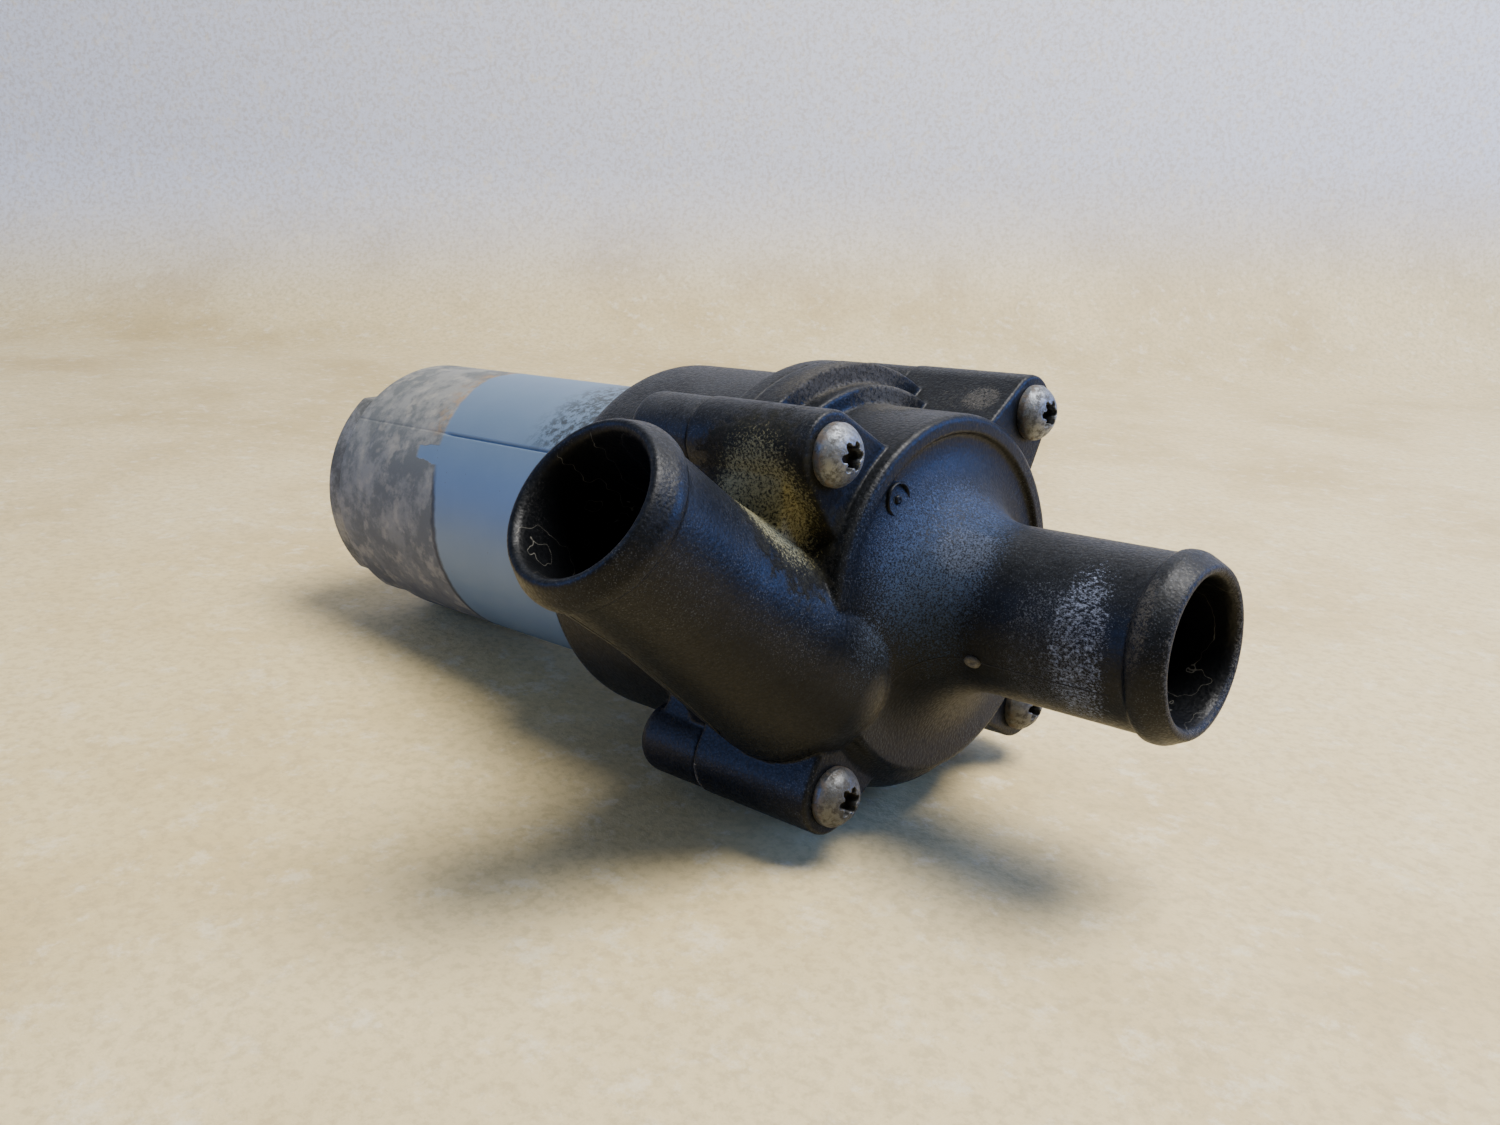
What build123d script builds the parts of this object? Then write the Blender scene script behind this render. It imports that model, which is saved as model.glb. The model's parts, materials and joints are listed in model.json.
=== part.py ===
from build123d import *

import os
from math import acos, cos, pi, radians, sin, sqrt

# Electric circulating pump: a volute cover with two hose spigots, a magnet-coupled impeller and a brushed
# motor. X is the shaft axis and points out of the inlet, x = 0 is the seat of the cover screws, +Z is up.
# Millimetres.

# ---------------------------------------------------------------- driving sizes
# Hose spigots: the inlet on the shaft axis, the outlet square to it and rising to the near side.
SPIGOT_R = 10.0
SPIGOT_BORE_R = 8.0
SPIGOT_LIP_R = 9.5
BEAD_RISE = 0.6
BEAD_LEN = 4.1
BEAD_REAR = [(0.1, 0.3), (0.33, 0.07), (0.7, 0.0)]  # along from the step, and drop below the crest
LIP_LEN = 2.4
LIP_BOW = 0.36
LIP_BOW_BACK = 0.85
HOSE_SEAT_LEN = 9.0
INLET_MOUTH_X = 34.2
INLET_FLARE_R = 8.8
OUTLET_LEN = 48.5
OUTLET_RISE = radians(38.6)
OUTLET_OFFSET = 15.5
OUTLET_ROOT_R = 11.6
OUTLET_TIP = 12.0
OUTLET_THROAT = 20.0
THROAT_EASE = 0.25
MOUTH_FLARE = 0.5
MOUTH_FLARE_LEN = 1.2
THROAT_LEN = 17.0

# Wet end.
CHAMBER_R = 19.8
CHAMBER_DEPTH = 16.5
COVER_WALL = 2.2
COVER_FRONT_WALL = 3.5
SWIRL_OFFSET = 2.7
SWIRL_TURN = radians(-115)
DISC_INSET = 2.5
DISC_DISH = 0.55
SWELL_ROUND = 6.5
FLANGE_FRONT_T = 4.2
STEP_T = 2.6
DISC_ROUND = 1.0
FLANGE_ROUND = 0.5
EAR_ROUND = 0.4
INFILL_ALONG = 16.0
INFILL_R = 3.9
INFILL_X = -3.5
INFILL_ROUND = 1.5
CHANNEL_LAND = 1.4
CHANNEL_ROUND = 3.0
FLANGE_REAR_T = 3.3
EAR_ROOT_R = 11.0
BOSS_WALL = 2.8
REAR_BOSS_LEN = 10.5
REAR_BOSS_ROUND = 1.8

# Cover screws.
SCREW_R = 2.0
SCREW_HEAD_R = 3.55
SCREW_HEAD_H = 3.0
SCREW_LEN = 26.0
SCREW_HOLE_CLEARANCE = 0.2
SCREW_EDGE = 1.0
SCREW_RIM_H = 0.9
SCREW_CROWN = 0.24
SCREW_TIP_R = 0.8
SCREW_TIP_LEN = 1.5
LOBE_COUNT = 6
LOBE_CORE_R = 1.2
LOBE_SPOT_R = 1.3
LOBE_R = 0.46
LOBE_DEPTH = 1.9

# Seal and separating can.
SEAL_W = 2.2
SEAL_ROUND = 0.45
CAN_PLATE_T = 2.0
CAN_BORE_R = 11.6
CAN_WALL = 1.0
CAN_DEPTH = 20.5
CAN_END_T = 1.2
PIN_R = 2.0
PIN_BOSS_R = 4.5
PIN_BOSS_LEN = 2.4
PIN_PROUD = 2.0
PIN_CHAMFER = 0.3
CLIP_T = 0.6
CLIP_RIM = 0.6
CLIP_TEETH = 3
CLIP_NOTCH = (-0.3, 0.9)  # inner and outer reach of a notch from the pin's skin
CLIP_NOTCH_HALF = 0.4

# Impeller.
IMPELLER_TIP_GAP = 1.6
IMPELLER_FRONT_GAP = 1.0
BACK_DISC_T = 2.0
BACK_DISC_GAP = 1.0
BLADE_COUNT = 7
BLADE_T = 1.3
BLADE_CURVE_R = 12.0
BLADE_LEAN = 2.4
BLADE_TIP_INSET = 0.2
HUB_NOSE_LEN = 3.0
HUB_NOSE_WALL = 1.0
MAGNET_INSET = 2.0
IMPELLER_EYE_R = 6.8
HUB_WALL = 1.5
BUSH_WALL = 2.0
RUNNING_FIT = 0.06
THRUST_GAP = 0.3
WASHER_T = 0.8
COUPLING_GAP = 0.6
DRIVEN_MAGNET_T = 4.2
DRIVE_MAGNET_T = 2.3

# Housing.
HOUSING_WALL = 2.7
SHOULDER_ROUND = 6.0
SOCKET_LAP = 4.0
BULKHEAD_T = 2.5
LEDGE_T = 2.5
REAR_FLANGE_ROUND = 1.2
REAR_INSET = 0.15
REAR_WEB_INSET = 0.8
REAR_WEB_BACK = 2.5
SCREW_END_ROOM = 0.6
POST_WALL = 1.4
POST_LEN = 5.5
CARRIER_T = 1.2
CARRIER_GAP = 1.5
CARRIER_WALL = 1.0
CARRIER_HUB_R = 5.0
CARRIER_AIR = 0.9

# Motor.
TUBE_R = 20.5
TUBE_WALL = 1.9
TUBE_FIT = 0.05
CARD_FIT = 0.1
PILOT_PLAY = 0.2
PILOT_STEP = 0.25
MOTOR_LEN = 60.5
GASKET_T = 1.0
SEAM_W = 0.4
SEAM_DEPTH = 0.7
SEAM_ANGLE = radians(40.6)
KEY_ANGLE = radians(-62)
KEY_HALF = radians(13)
KEY_LEN = 7.0
KEY_PLAY = 0.15
KEY_DROP = 1.1
KEY_ROOT = 0.6
SHAFT_R = 2.5
BEARING_R = 6.5
BEARING_W = 4.0
BEARING_WALL = 1.9
CLIP_RING_T = 0.5
CLIP_RING_EASE = 1.0
FLOAT_WASHER_WALL = 1.8
FLOAT_GAP = 0.8
SHAFT_CHAMFER = 0.4
AIR_GAP = 0.6
MAGNET_T = 4.4
MAGNET_HALF = radians(58)
SLOT_COUNT = 8
TOOTH_W = 2.4
COIL_T = 1.1
SLOT_OPENING = 1.8
CORE_HUB_R = 5.6
SHOE_T = 1.7
TOOTH_FOOT_R = 4.0
TOOTH_LAP = 1.0
SLOT_CUT = 3.0
COIL_FOOT_R = 6.3
COIL_INSET = 2.1
COIL_ROUND = 0.9
MAGNET_STRIP_T = 0.7
MAGNET_STRIP_PLAY = 0.01
COMMUTATOR_R = 7.0
COMMUTATOR_LEN = 7.5
BAR_T = 1.4
BAR_GAP = 0.25
HUB_LIP = 1.0
BRUSH_W = 4.0
BRUSH_X = 5.4
BRUSH_LEN = 6.4
BRUSH_FIT = 0.08
HOLDER_WALL = 0.5
SPRING_WIRE_R = 0.22
SPRING_TURNS = 4
SPRING_EASE = 0.3
SPRING_GROOVE = 0.28
PEDESTAL_HALF = 2.2
PEDESTAL_INNER = 0.8
PEDESTAL_OUTER = 1.6
CARD_SHAFT_EASE = 1.5
CARD_BOLT_EASE = 1.6
BOLT_R = 1.5
BOLT_INSET = 3.0
BOLT_HEAD_R = 2.6
BOLT_HEAD_H = 2.2
BOLT_HEAD_ROUND = 0.5
BOLT_SLOT_HALF = 0.4
BOLT_SLOT_DEPTH = 1.0
BOLT_SEAT_BACK = 1.2
BOLT_TIP_BACK = 1.0
BOLT_END_ROOM = 0.2
CARD_T = 2.5
CAP_DISC_T = 4.5
CAP_PLUG_LEN = 8.0
CAP_EDGE_INSET = 0.4
CAP_FLAT_MARGIN = 0.4
CAP_FLAT_CUT = 3.0
CAP_ROUND = 1.2
CAP_PLUG_WALL = 2.2 - TUBE_FIT
CAP_FLOOR = 0.5
CAP_BOSS_RISE = 0.9
CAP_SHAFT_ROOM = 2.0
CAP_SHAFT_EASE = 0.8
CAP_BOLT_EASE = 0.2
CAP_HEAD_EASE = 0.4
CHOKE_R = 2.3
CHOKE_LEN = 10.5
CHOKE_SPOT = (-9.4, 12.2)
CAPACITOR_LEN = 7.0
CAPACITOR_Y = (6.6, 11.6)
CAPACITOR_Z = (10.4, 13.6)
CAPACITOR_ROUND = 0.8

# Electrical socket, moulded into the housing on the far side and open to the rear.
SOCKET_W = 15.4
SOCKET_H = 10.4
SOCKET_LEN = 21.5
SOCKET_WALL = 1.3
SOCKET_DEPTH = 18.0
SOCKET_SINK = 1.4
SOCKET_FORWARD = 7.5
SOCKET_CORNER = 2.6
SOCKET_ROUND = 1.6
CAVITY_CORNER = 1.5
NIB_START = 3.0
NIB_END = 7.0
NIB_RISE = 1.6
NIB_ROOT = 0.3
NIB_HALF = 2.6
BLADE_W = 2.8
BLADE_THICK = 0.8
BLADE_PITCH = 6.0
BLADE_STICK = 11.0
LINK_INSET = 1.6
TAIL_INSET = 1.2
TAIL_LEN = 5.0

# Workshop allowances: how far a cutter reaches past its cut, and how far a joined solid is sunk in.
OVER = 1.0
SINK = 0.5

# ---------------------------------------------------------------- sizes that follow
BEAD_R = SPIGOT_R + BEAD_RISE
FRONT_X = 2.0
CHAMBER_FRONT_X = FRONT_X - COVER_FRONT_WALL
JOINT_X = CHAMBER_FRONT_X - CHAMBER_DEPTH
OUTLET_X = CHAMBER_FRONT_X - SPIGOT_BORE_R + 0.4
BODY_R = CHAMBER_R + COVER_WALL
CHANNEL_R = CHAMBER_R + 0.6
SWELL_R = CHANNEL_R + COVER_WALL
CAN_FLANGE_R = CHAMBER_R + 3.1
RECESS_R = CAN_FLANGE_R + SEAL_W
SCREW_CIRCLE_R = RECESS_R + SCREW_R + SCREW_EDGE
BOSS_R = SCREW_R + BOSS_WALL
FLANGE_R = RECESS_R + 1.9
STEP_R = BODY_R + 2.4
HOUSING_BORE_R = CHAMBER_R + 2.2
LEDGE_R = HOUSING_BORE_R - 1.8

CAN_OUT_R = CAN_BORE_R + CAN_WALL
CAN_END_X = JOINT_X - CAN_DEPTH
CAN_FLOOR_X = CAN_END_X + CAN_END_T
SLEEVE_R = CAN_BORE_R - COUPLING_GAP
BUSH_BORE_R = PIN_R + RUNNING_FIT
BUSH_R = BUSH_BORE_R + BUSH_WALL
HUB_R = BUSH_R + HUB_WALL
DRIVEN_R = HUB_R + DRIVEN_MAGNET_T
BUSH_REAR_X = CAN_FLOOR_X + PIN_BOSS_LEN + WASHER_T + THRUST_GAP
HUB_REAR_X = BUSH_REAR_X - 0.2
BACK_DISC_X = JOINT_X + BACK_DISC_GAP
BLADE_ROOT_X = BACK_DISC_X + BACK_DISC_T
BLADE_FRONT_X = CHAMBER_FRONT_X - IMPELLER_FRONT_GAP
HUB_FRONT_X = BLADE_ROOT_X + HUB_NOSE_LEN
BUSH_FRONT_X = HUB_FRONT_X - 0.5
WASHER_FRONT_X = BUSH_FRONT_X + THRUST_GAP
IMPELLER_R = CHAMBER_R - IMPELLER_TIP_GAP

DRIVE_BORE_R = CAN_OUT_R + COUPLING_GAP
DRIVE_R = DRIVE_BORE_R + DRIVE_MAGNET_T
CARRIER_R = DRIVE_R + CARRIER_WALL
CARRIER_FRONT_X = JOINT_X - CAN_PLATE_T - 4.0
CARRIER_DISC_X = CAN_END_X - CARRIER_GAP
CARRIER_REAR_X = CARRIER_DISC_X - CARRIER_T
BULKHEAD_X = CARRIER_REAR_X - 0.8
MOTOR_X = BULKHEAD_X - BULKHEAD_T
CARRIER_HUB_X = MOTOR_X + 0.8
SHAFT_HOLE_R = CARRIER_HUB_R + 1.6

# The motor is as wide as its tube asks for, or as wide as the carrier and the contact tails beside it need.
MOTOR_R = max(TUBE_R, CARRIER_R + CARRIER_AIR + TAIL_INSET + TUBE_WALL)
HOUSING_R = max(HOUSING_BORE_R + HOUSING_WALL, MOTOR_R + 4.2)
TUBE_BORE_R = MOTOR_R - TUBE_WALL
PILOT_R = MOTOR_R - PILOT_STEP
BOLT_CIRCLE_R = TUBE_BORE_R - BOLT_INSET
HOUSING_END_X = MOTOR_X - SOCKET_LAP
PILOT_END_X = HOUSING_END_X - PILOT_PLAY
TUBE_FRONT_X = MOTOR_X - GASKET_T
TUBE_END_X = MOTOR_X - MOTOR_LEN
CARD_R = TUBE_BORE_R - CARD_FIT
CARD_REAR_X = MOTOR_X - CARD_T
BEARING_SEAT_R = BEARING_R + BEARING_WALL
FRONT_BEARING_X = MOTOR_X - 2.0
CARD_BOSS_X = FRONT_BEARING_X - BEARING_W - 0.5
COMMUTATOR_X = CARD_BOSS_X - 2.5
BRUSH_MID_X = COMMUTATOR_X - 0.5 * COMMUTATOR_LEN
CORE_X = COMMUTATOR_X - COMMUTATOR_LEN - 3.5
REAR_BEARING_X = TUBE_END_X + 3.0
CORE_END_X = REAR_BEARING_X + BEARING_W + 10.0
OVERHANG = 2.6
MAGNET_R = TUBE_BORE_R - 0.05
ARMATURE_R = MAGNET_R - MAGNET_T - AIR_GAP
SHAFT_FRONT_X = CAN_END_X - 1.1
SHAFT_REAR_X = REAR_BEARING_X - 0.6
CAP_R = MOTOR_R - CAP_EDGE_INSET
CAP_FLAT_TOP = BOLT_CIRCLE_R + CAP_FLAT_MARGIN
CAP_FLAT_BOTTOM = BOLT_CIRCLE_R - CAP_FLAT_CUT
CAP_REAR_X = TUBE_END_X - CAP_DISC_T
BRUSH_TIP_R = COMMUTATOR_R + 0.06
BRUSH_TAIL_R = BRUSH_TIP_R + BRUSH_LEN
HOLDER_END_R = TUBE_BORE_R - 0.5
HOLDER_START_R = COMMUTATOR_R + 1.4

SOCKET_Y = HOUSING_R + 0.5 * SOCKET_H - SOCKET_SINK
SOCKET_FRONT_X = BULKHEAD_X + SOCKET_FORWARD
SOCKET_MOUTH_X = SOCKET_FRONT_X - SOCKET_LEN
SOCKET_FLOOR_X = SOCKET_MOUTH_X + SOCKET_DEPTH
TAIL_Y = TUBE_BORE_R - TAIL_INSET
LINK_X = SOCKET_FLOOR_X + LINK_INSET

BOSS_OUT = SCREW_CIRCLE_R / sqrt(2)
BOSS_SPOTS = [(ky * BOSS_OUT, kz * BOSS_OUT) for ky in (-1, 1) for kz in (-1, 1)]
OUTLET_OUT = Vector(0, -cos(OUTLET_RISE), sin(OUTLET_RISE))
OUTLET_DOWN = Vector(0, -sin(OUTLET_RISE), -cos(OUTLET_RISE))
OUTLET_FOOT = OUTLET_DOWN * OUTLET_OFFSET + Vector(OUTLET_X, 0, 0)
OUTLET_PLANE = Plane(origin=OUTLET_FOOT, x_dir=(1, 0, 0), z_dir=OUTLET_OUT)
SWIRL_SPOT = (SWIRL_OFFSET * cos(SWIRL_TURN), SWIRL_OFFSET * sin(SWIRL_TURN))


# ---------------------------------------------------------------- helpers
def rod(x_a, x_b, radius, y=0.0, z=0.0):
    """A round bar along X between two stations."""
    low = min(x_a, x_b)
    bar = Cylinder(radius, abs(x_b - x_a), align=(Align.CENTER, Align.CENTER, Align.MIN))
    return Pos(low, y, z) * Rot(0, 90, 0) * bar


def ring(x_a, x_b, outer, inner, y=0.0, z=0.0):
    """A plain tube along X between two stations."""
    return rod(x_a, x_b, outer, y, z) - rod(min(x_a, x_b) - OVER, max(x_a, x_b) + OVER, inner, y, z)


def brick(x_a, x_b, y_a, y_b, z_a, z_b):
    """A block between two corners."""
    size = Box(abs(x_b - x_a), abs(y_b - y_a), abs(z_b - z_a))
    return Pos((x_a + x_b) / 2, (y_a + y_b) / 2, (z_a + z_b) / 2) * size


def plate(outline, x_a, x_b):
    """A Y-Z outline pushed along X from one station to another."""
    return extrude(Plane.YZ.offset(min(x_a, x_b)) * outline, amount=abs(x_b - x_a))


def belt(start, start_r, end, end_r):
    """The outline of a belt around two circles in the Y-Z plane."""
    gap = Vector(end[0] - start[0], end[1] - start[1])
    length = gap.length
    base = Vector(gap.X / length, gap.Y / length)
    lean = acos((start_r - end_r) / length)
    corners = []
    for side in (1, -1):
        nx = base.X * cos(lean) - side * base.Y * sin(lean)
        ny = side * base.X * sin(lean) + base.Y * cos(lean)
        near = (start[0] + start_r * nx, start[1] + start_r * ny)
        corners.append((near, (end[0] + end_r * nx, end[1] + end_r * ny)))
    web = make_face(Polyline(corners[0][0], corners[0][1], corners[1][1], corners[1][0], close=True))
    return web + Pos(*start) * Circle(start_r) + Pos(*end) * Circle(end_r)


def about_x(shape, angle):
    """The shape turned about the shaft axis by an angle in radians."""
    return Rot(angle * 180 / pi, 0, 0) * shape


def sector(x_a, x_b, outer, inner, middle, half):
    """A piece of tube spanning an angle either side of a middle direction, measured from +Y towards +Z."""
    reach = 2.0 * outer
    wedge = make_face(Polyline((0, 0), (reach * cos(half), -reach * sin(half)), (2 * reach, 0),
                               (reach * cos(half), reach * sin(half)), close=True))
    return ring(x_a, x_b, outer, inner) & about_x(plate(wedge, x_a, x_b), middle)


def dome_root(root_z, root_r):
    """The half outline of a round end about local Z, from the axis out to the wall."""
    slant = root_r * cos(pi / 4)
    return ThreePointArc((0, 0, root_z - root_r), (slant, 0, root_z - slant), (root_r, 0, root_z))


def flare_root(root_z, flare_r):
    """The half outline of a wide concave flare about local Z, from the axis out to the spigot wall."""
    slant = flare_r * (1 - cos(pi / 4))
    foot_z = root_z - 2 * OVER
    wide = SPIGOT_R + flare_r
    foot = Polyline((0, 0, foot_z), (wide, 0, foot_z), (wide, 0, root_z))
    middle = (SPIGOT_R + slant, 0, root_z + slant)
    return foot + ThreePointArc((wide, 0, root_z), middle, (SPIGOT_R, 0, root_z + flare_r))


def spigot_skin(root, root_start, root_end, mouth_z):
    """The outside of a hose spigot about local Z: its root, a straight hose seat, a bead and a soft lip."""
    step = mouth_z - BEAD_LEN
    crest_end = mouth_z - LIP_LEN
    rear = [(BEAD_R - drop, 0, step + along) for along, drop in BEAD_REAR]
    seat = Polyline(root_end, (SPIGOT_R, 0, step - HOSE_SEAT_LEN), (SPIGOT_R, 0, step), rear[0])
    rear_round = ThreePointArc(*rear)
    crest = Line(rear[-1], (BEAD_R, 0, crest_end))
    bow_r = (BEAD_R + SPIGOT_LIP_R) / 2 + LIP_BOW * (BEAD_R - SPIGOT_LIP_R)
    bow = (bow_r, 0, mouth_z - LIP_BOW_BACK)
    lip = ThreePointArc((BEAD_R, 0, crest_end), bow, (SPIGOT_LIP_R, 0, mouth_z))
    end = Polyline((SPIGOT_LIP_R, 0, mouth_z), (0, 0, mouth_z), root_start)
    return revolve(make_face(root + seat + rear_round + crest + lip + end), axis=Axis.Z)


def inlet_skin():
    """The outside of the inlet, standing on the front disc with a wide flare."""
    root_z = FRONT_X - 0.3 * DISC_DISH
    root = flare_root(root_z, INLET_FLARE_R)
    skin = spigot_skin(root, (0, 0, root_z - 2 * OVER), (SPIGOT_R, 0, root_z + INLET_FLARE_R), INLET_MOUTH_X)
    return Rot(0, 90, 0) * skin


def outlet_skin():
    """The outside of the outlet, sunk into the swirl chamber with a round end."""
    root = dome_root(OUTLET_TIP, OUTLET_ROOT_R)
    skin = spigot_skin(root, (0, 0, OUTLET_TIP - OUTLET_ROOT_R), (OUTLET_ROOT_R, 0, OUTLET_TIP), OUTLET_LEN)
    return OUTLET_PLANE * skin


def spigot_bore(root_z, mouth_z):
    """The bore of a spigot with its flared mouth, about local Z."""
    bore = Cylinder(SPIGOT_BORE_R, mouth_z - root_z + OVER, align=(Align.CENTER, Align.CENTER, Align.MIN))
    mouth = Cone(SPIGOT_BORE_R, SPIGOT_BORE_R + MOUTH_FLARE, MOUTH_FLARE_LEN,
                 align=(Align.CENTER, Align.CENTER, Align.MAX))
    return Pos(0, 0, root_z) * bore + Pos(0, 0, mouth_z) * mouth


def front_edges(shape, x_at, tolerance=0.01):
    """The edges of a shape that lie in the plane of one station."""
    return [e for e in shape.edges() if abs(e.bounding_box().min.X - x_at) < tolerance
            and abs(e.bounding_box().max.X - x_at) < tolerance]


# ---------------------------------------------------------------- wet end
def volute_cover():
    """Front cover: inlet spigot on the axis, swirl chamber, tangential outlet spigot and four screw ears."""
    body = rod(JOINT_X, FRONT_X, BODY_R)
    body = fillet(front_edges(body, FRONT_X), DISC_ROUND)
    dish_tilt = DISC_DISH / (2 * (BODY_R - DISC_INSET)) * 180 / pi
    dish = Pos(FRONT_X - DISC_DISH / 2, 0, 0) * Rot(0, -dish_tilt, 0) * rod(0, 5 * OVER, BODY_R - DISC_INSET)
    body -= dish
    body += inlet_skin()
    swell = rod(JOINT_X, FRONT_X, SWELL_R, *SWIRL_SPOT)
    body += fillet(front_edges(swell, FRONT_X), SWELL_ROUND)
    flange_x = JOINT_X + FLANGE_FRONT_T
    flange = rod(JOINT_X, flange_x, FLANGE_R)
    body += fillet(front_edges(flange, flange_x), FLANGE_ROUND)
    body += rod(flange_x, flange_x + STEP_T, STEP_R)
    for y, z in BOSS_SPOTS:
        ear = plate(belt((0, 0), EAR_ROOT_R, (y, z), BOSS_R), JOINT_X, 0)
        body += fillet(front_edges(ear, 0), EAR_ROUND)
    high_near = (-BOSS_OUT, BOSS_OUT)
    low_spot = OUTLET_FOOT + OUTLET_OUT * INFILL_ALONG
    infill = plate(belt(high_near, INFILL_R, (low_spot.Y, low_spot.Z), INFILL_R), JOINT_X, INFILL_X)
    body += fillet(front_edges(infill, INFILL_X), INFILL_ROUND)
    body += outlet_skin()
    body -= rod(JOINT_X - 2 * SPIGOT_R, JOINT_X, 3 * FLANGE_R)
    body -= rod(JOINT_X - OVER, CHAMBER_FRONT_X, CHAMBER_R)
    channel = rod(JOINT_X + CHANNEL_LAND, CHAMBER_FRONT_X, CHANNEL_R, *SWIRL_SPOT)
    body -= fillet(front_edges(channel, CHAMBER_FRONT_X), CHANNEL_ROUND)
    body -= Rot(0, 90, 0) * spigot_bore(CHAMBER_FRONT_X - OVER, INLET_MOUTH_X)
    body -= OUTLET_PLANE * spigot_bore(OUTLET_THROAT, OUTLET_LEN)
    throat = Cylinder(SPIGOT_BORE_R + THROAT_EASE, THROAT_LEN, align=(Align.CENTER, Align.CENTER, Align.MAX))
    body -= OUTLET_PLANE * Pos(0, 0, OUTLET_THROAT) * throat
    for y, z in BOSS_SPOTS:
        body -= rod(JOINT_X - OVER, OVER, SCREW_R + SCREW_HOLE_CLEARANCE, y, z)
    return body


def cover_screws():
    """Four pan-head screws with a six-lobe recess, their heads on the ears' front faces."""
    tip_x = -SCREW_LEN
    dome_h = SCREW_HEAD_H - SCREW_RIM_H
    shank = Polyline((SCREW_HEAD_H, 0), (tip_x, 0), (tip_x, SCREW_TIP_R), (tip_x + SCREW_TIP_LEN, SCREW_R),
                     (0, SCREW_R), (0, SCREW_HEAD_R), (SCREW_RIM_H, SCREW_HEAD_R))
    crown = (SCREW_RIM_H + (0.5 + SCREW_CROWN) * dome_h, 0.62 * SCREW_HEAD_R)
    outline = shank + ThreePointArc((SCREW_RIM_H, SCREW_HEAD_R), crown, (SCREW_HEAD_H, 0))
    screw = revolve(make_face(outline), axis=Axis.X)
    star = Circle(LOBE_CORE_R)
    for k in range(LOBE_COUNT):
        turn = 2 * pi * k / LOBE_COUNT
        star += Pos(LOBE_SPOT_R * cos(turn), LOBE_SPOT_R * sin(turn)) * Circle(LOBE_R)
    screw -= plate(star, SCREW_HEAD_H - LOBE_DEPTH, SCREW_HEAD_H + OVER)
    return [Pos(0, y, z) * screw for y, z in BOSS_SPOTS]


def cover_seal():
    """Moulded seal ring, squeezed between the cover, the housing and the rim of the separating can."""
    seal = ring(JOINT_X, JOINT_X - CAN_PLATE_T, RECESS_R, CAN_FLANGE_R)
    return fillet(seal.edges().filter_by(GeomType.CIRCLE), SEAL_ROUND)


def separating_can():
    """Thin cup that parts the wet side from the dry side and holds the impeller pin."""
    can = rod(JOINT_X, JOINT_X - CAN_PLATE_T, CAN_FLANGE_R)
    can += rod(JOINT_X - CAN_PLATE_T, CAN_END_X, CAN_OUT_R)
    can -= rod(JOINT_X + OVER, CAN_FLOOR_X, CAN_BORE_R)
    can += rod(CAN_FLOOR_X - SINK, CAN_FLOOR_X + PIN_BOSS_LEN, PIN_BOSS_R)
    can -= rod(CAN_FLOOR_X, CAN_FLOOR_X + PIN_BOSS_LEN + OVER, PIN_R)
    return can


def impeller_pin():
    """Fixed axle of the impeller, pressed into the can."""
    pin = rod(CAN_FLOOR_X, WASHER_FRONT_X + WASHER_T + PIN_PROUD, PIN_R)
    return chamfer(pin.edges().filter_by(GeomType.CIRCLE), PIN_CHAMFER)


def thrust_washers():
    """Two hard washers that take the impeller's push to the front and to the rear."""
    stations = (CAN_FLOOR_X + PIN_BOSS_LEN, WASHER_FRONT_X)
    return [ring(x, x + WASHER_T, BUSH_R, PIN_R) for x in stations]


def pin_retainer():
    """Push-on clip that keeps the impeller on its pin."""
    clip_x = WASHER_FRONT_X + WASHER_T
    clip = ring(clip_x, clip_x + CLIP_T, BUSH_R - CLIP_RIM, PIN_R)
    inner, outer = (PIN_R + reach for reach in CLIP_NOTCH)
    notch = brick(clip_x - OVER, clip_x + CLIP_T + OVER, inner, outer, -CLIP_NOTCH_HALF, CLIP_NOTCH_HALF)
    for k in range(CLIP_TEETH):
        clip -= about_x(notch, 2 * pi * k / CLIP_TEETH)
    return clip


def impeller():
    """Moulded impeller: back disc, backward-curved blades and a hub sleeve that holds the magnet ring."""
    wheel = rod(BACK_DISC_X, BLADE_ROOT_X, IMPELLER_R)
    wheel += rod(HUB_REAR_X, BLADE_ROOT_X, SLEEVE_R)
    wheel += rod(BLADE_ROOT_X, HUB_FRONT_X, HUB_R + HUB_NOSE_WALL)
    offset = BLADE_CURVE_R - BLADE_LEAN
    blades = []
    for k in range(BLADE_COUNT):
        arc = ring(BLADE_ROOT_X - SINK, BLADE_FRONT_X, BLADE_CURVE_R, BLADE_CURVE_R - BLADE_T, y=0, z=offset)
        arc &= brick(JOINT_X, FRONT_X, 0, FLANGE_R, -FLANGE_R, FLANGE_R)
        arc &= ring(JOINT_X, FRONT_X, IMPELLER_R - BLADE_TIP_INSET, IMPELLER_EYE_R)
        blades.append(about_x(arc, 2 * pi * k / BLADE_COUNT))
    for blade in blades:
        wheel += blade
    wheel -= ring(HUB_REAR_X - OVER, BACK_DISC_X - MAGNET_INSET, DRIVEN_R, HUB_R)
    wheel -= rod(HUB_REAR_X - OVER, HUB_FRONT_X + OVER, BUSH_R)
    return wheel


def driven_magnet():
    """Magnet ring moulded into the impeller's sleeve."""
    return ring(HUB_REAR_X, BACK_DISC_X - MAGNET_INSET, DRIVEN_R, HUB_R)


def impeller_bush():
    """Carbon bush pressed into the hub, running on the fixed pin."""
    return ring(BUSH_REAR_X, BUSH_FRONT_X, BUSH_R, BUSH_BORE_R)


# ---------------------------------------------------------------- housing and coupling
def socket_outline(width, height, corner):
    """Rounded outline of the electrical socket, wide along Z and high along Y."""
    return Pos(SOCKET_Y, 0) * RectangleRounded(height, width, corner)


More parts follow.
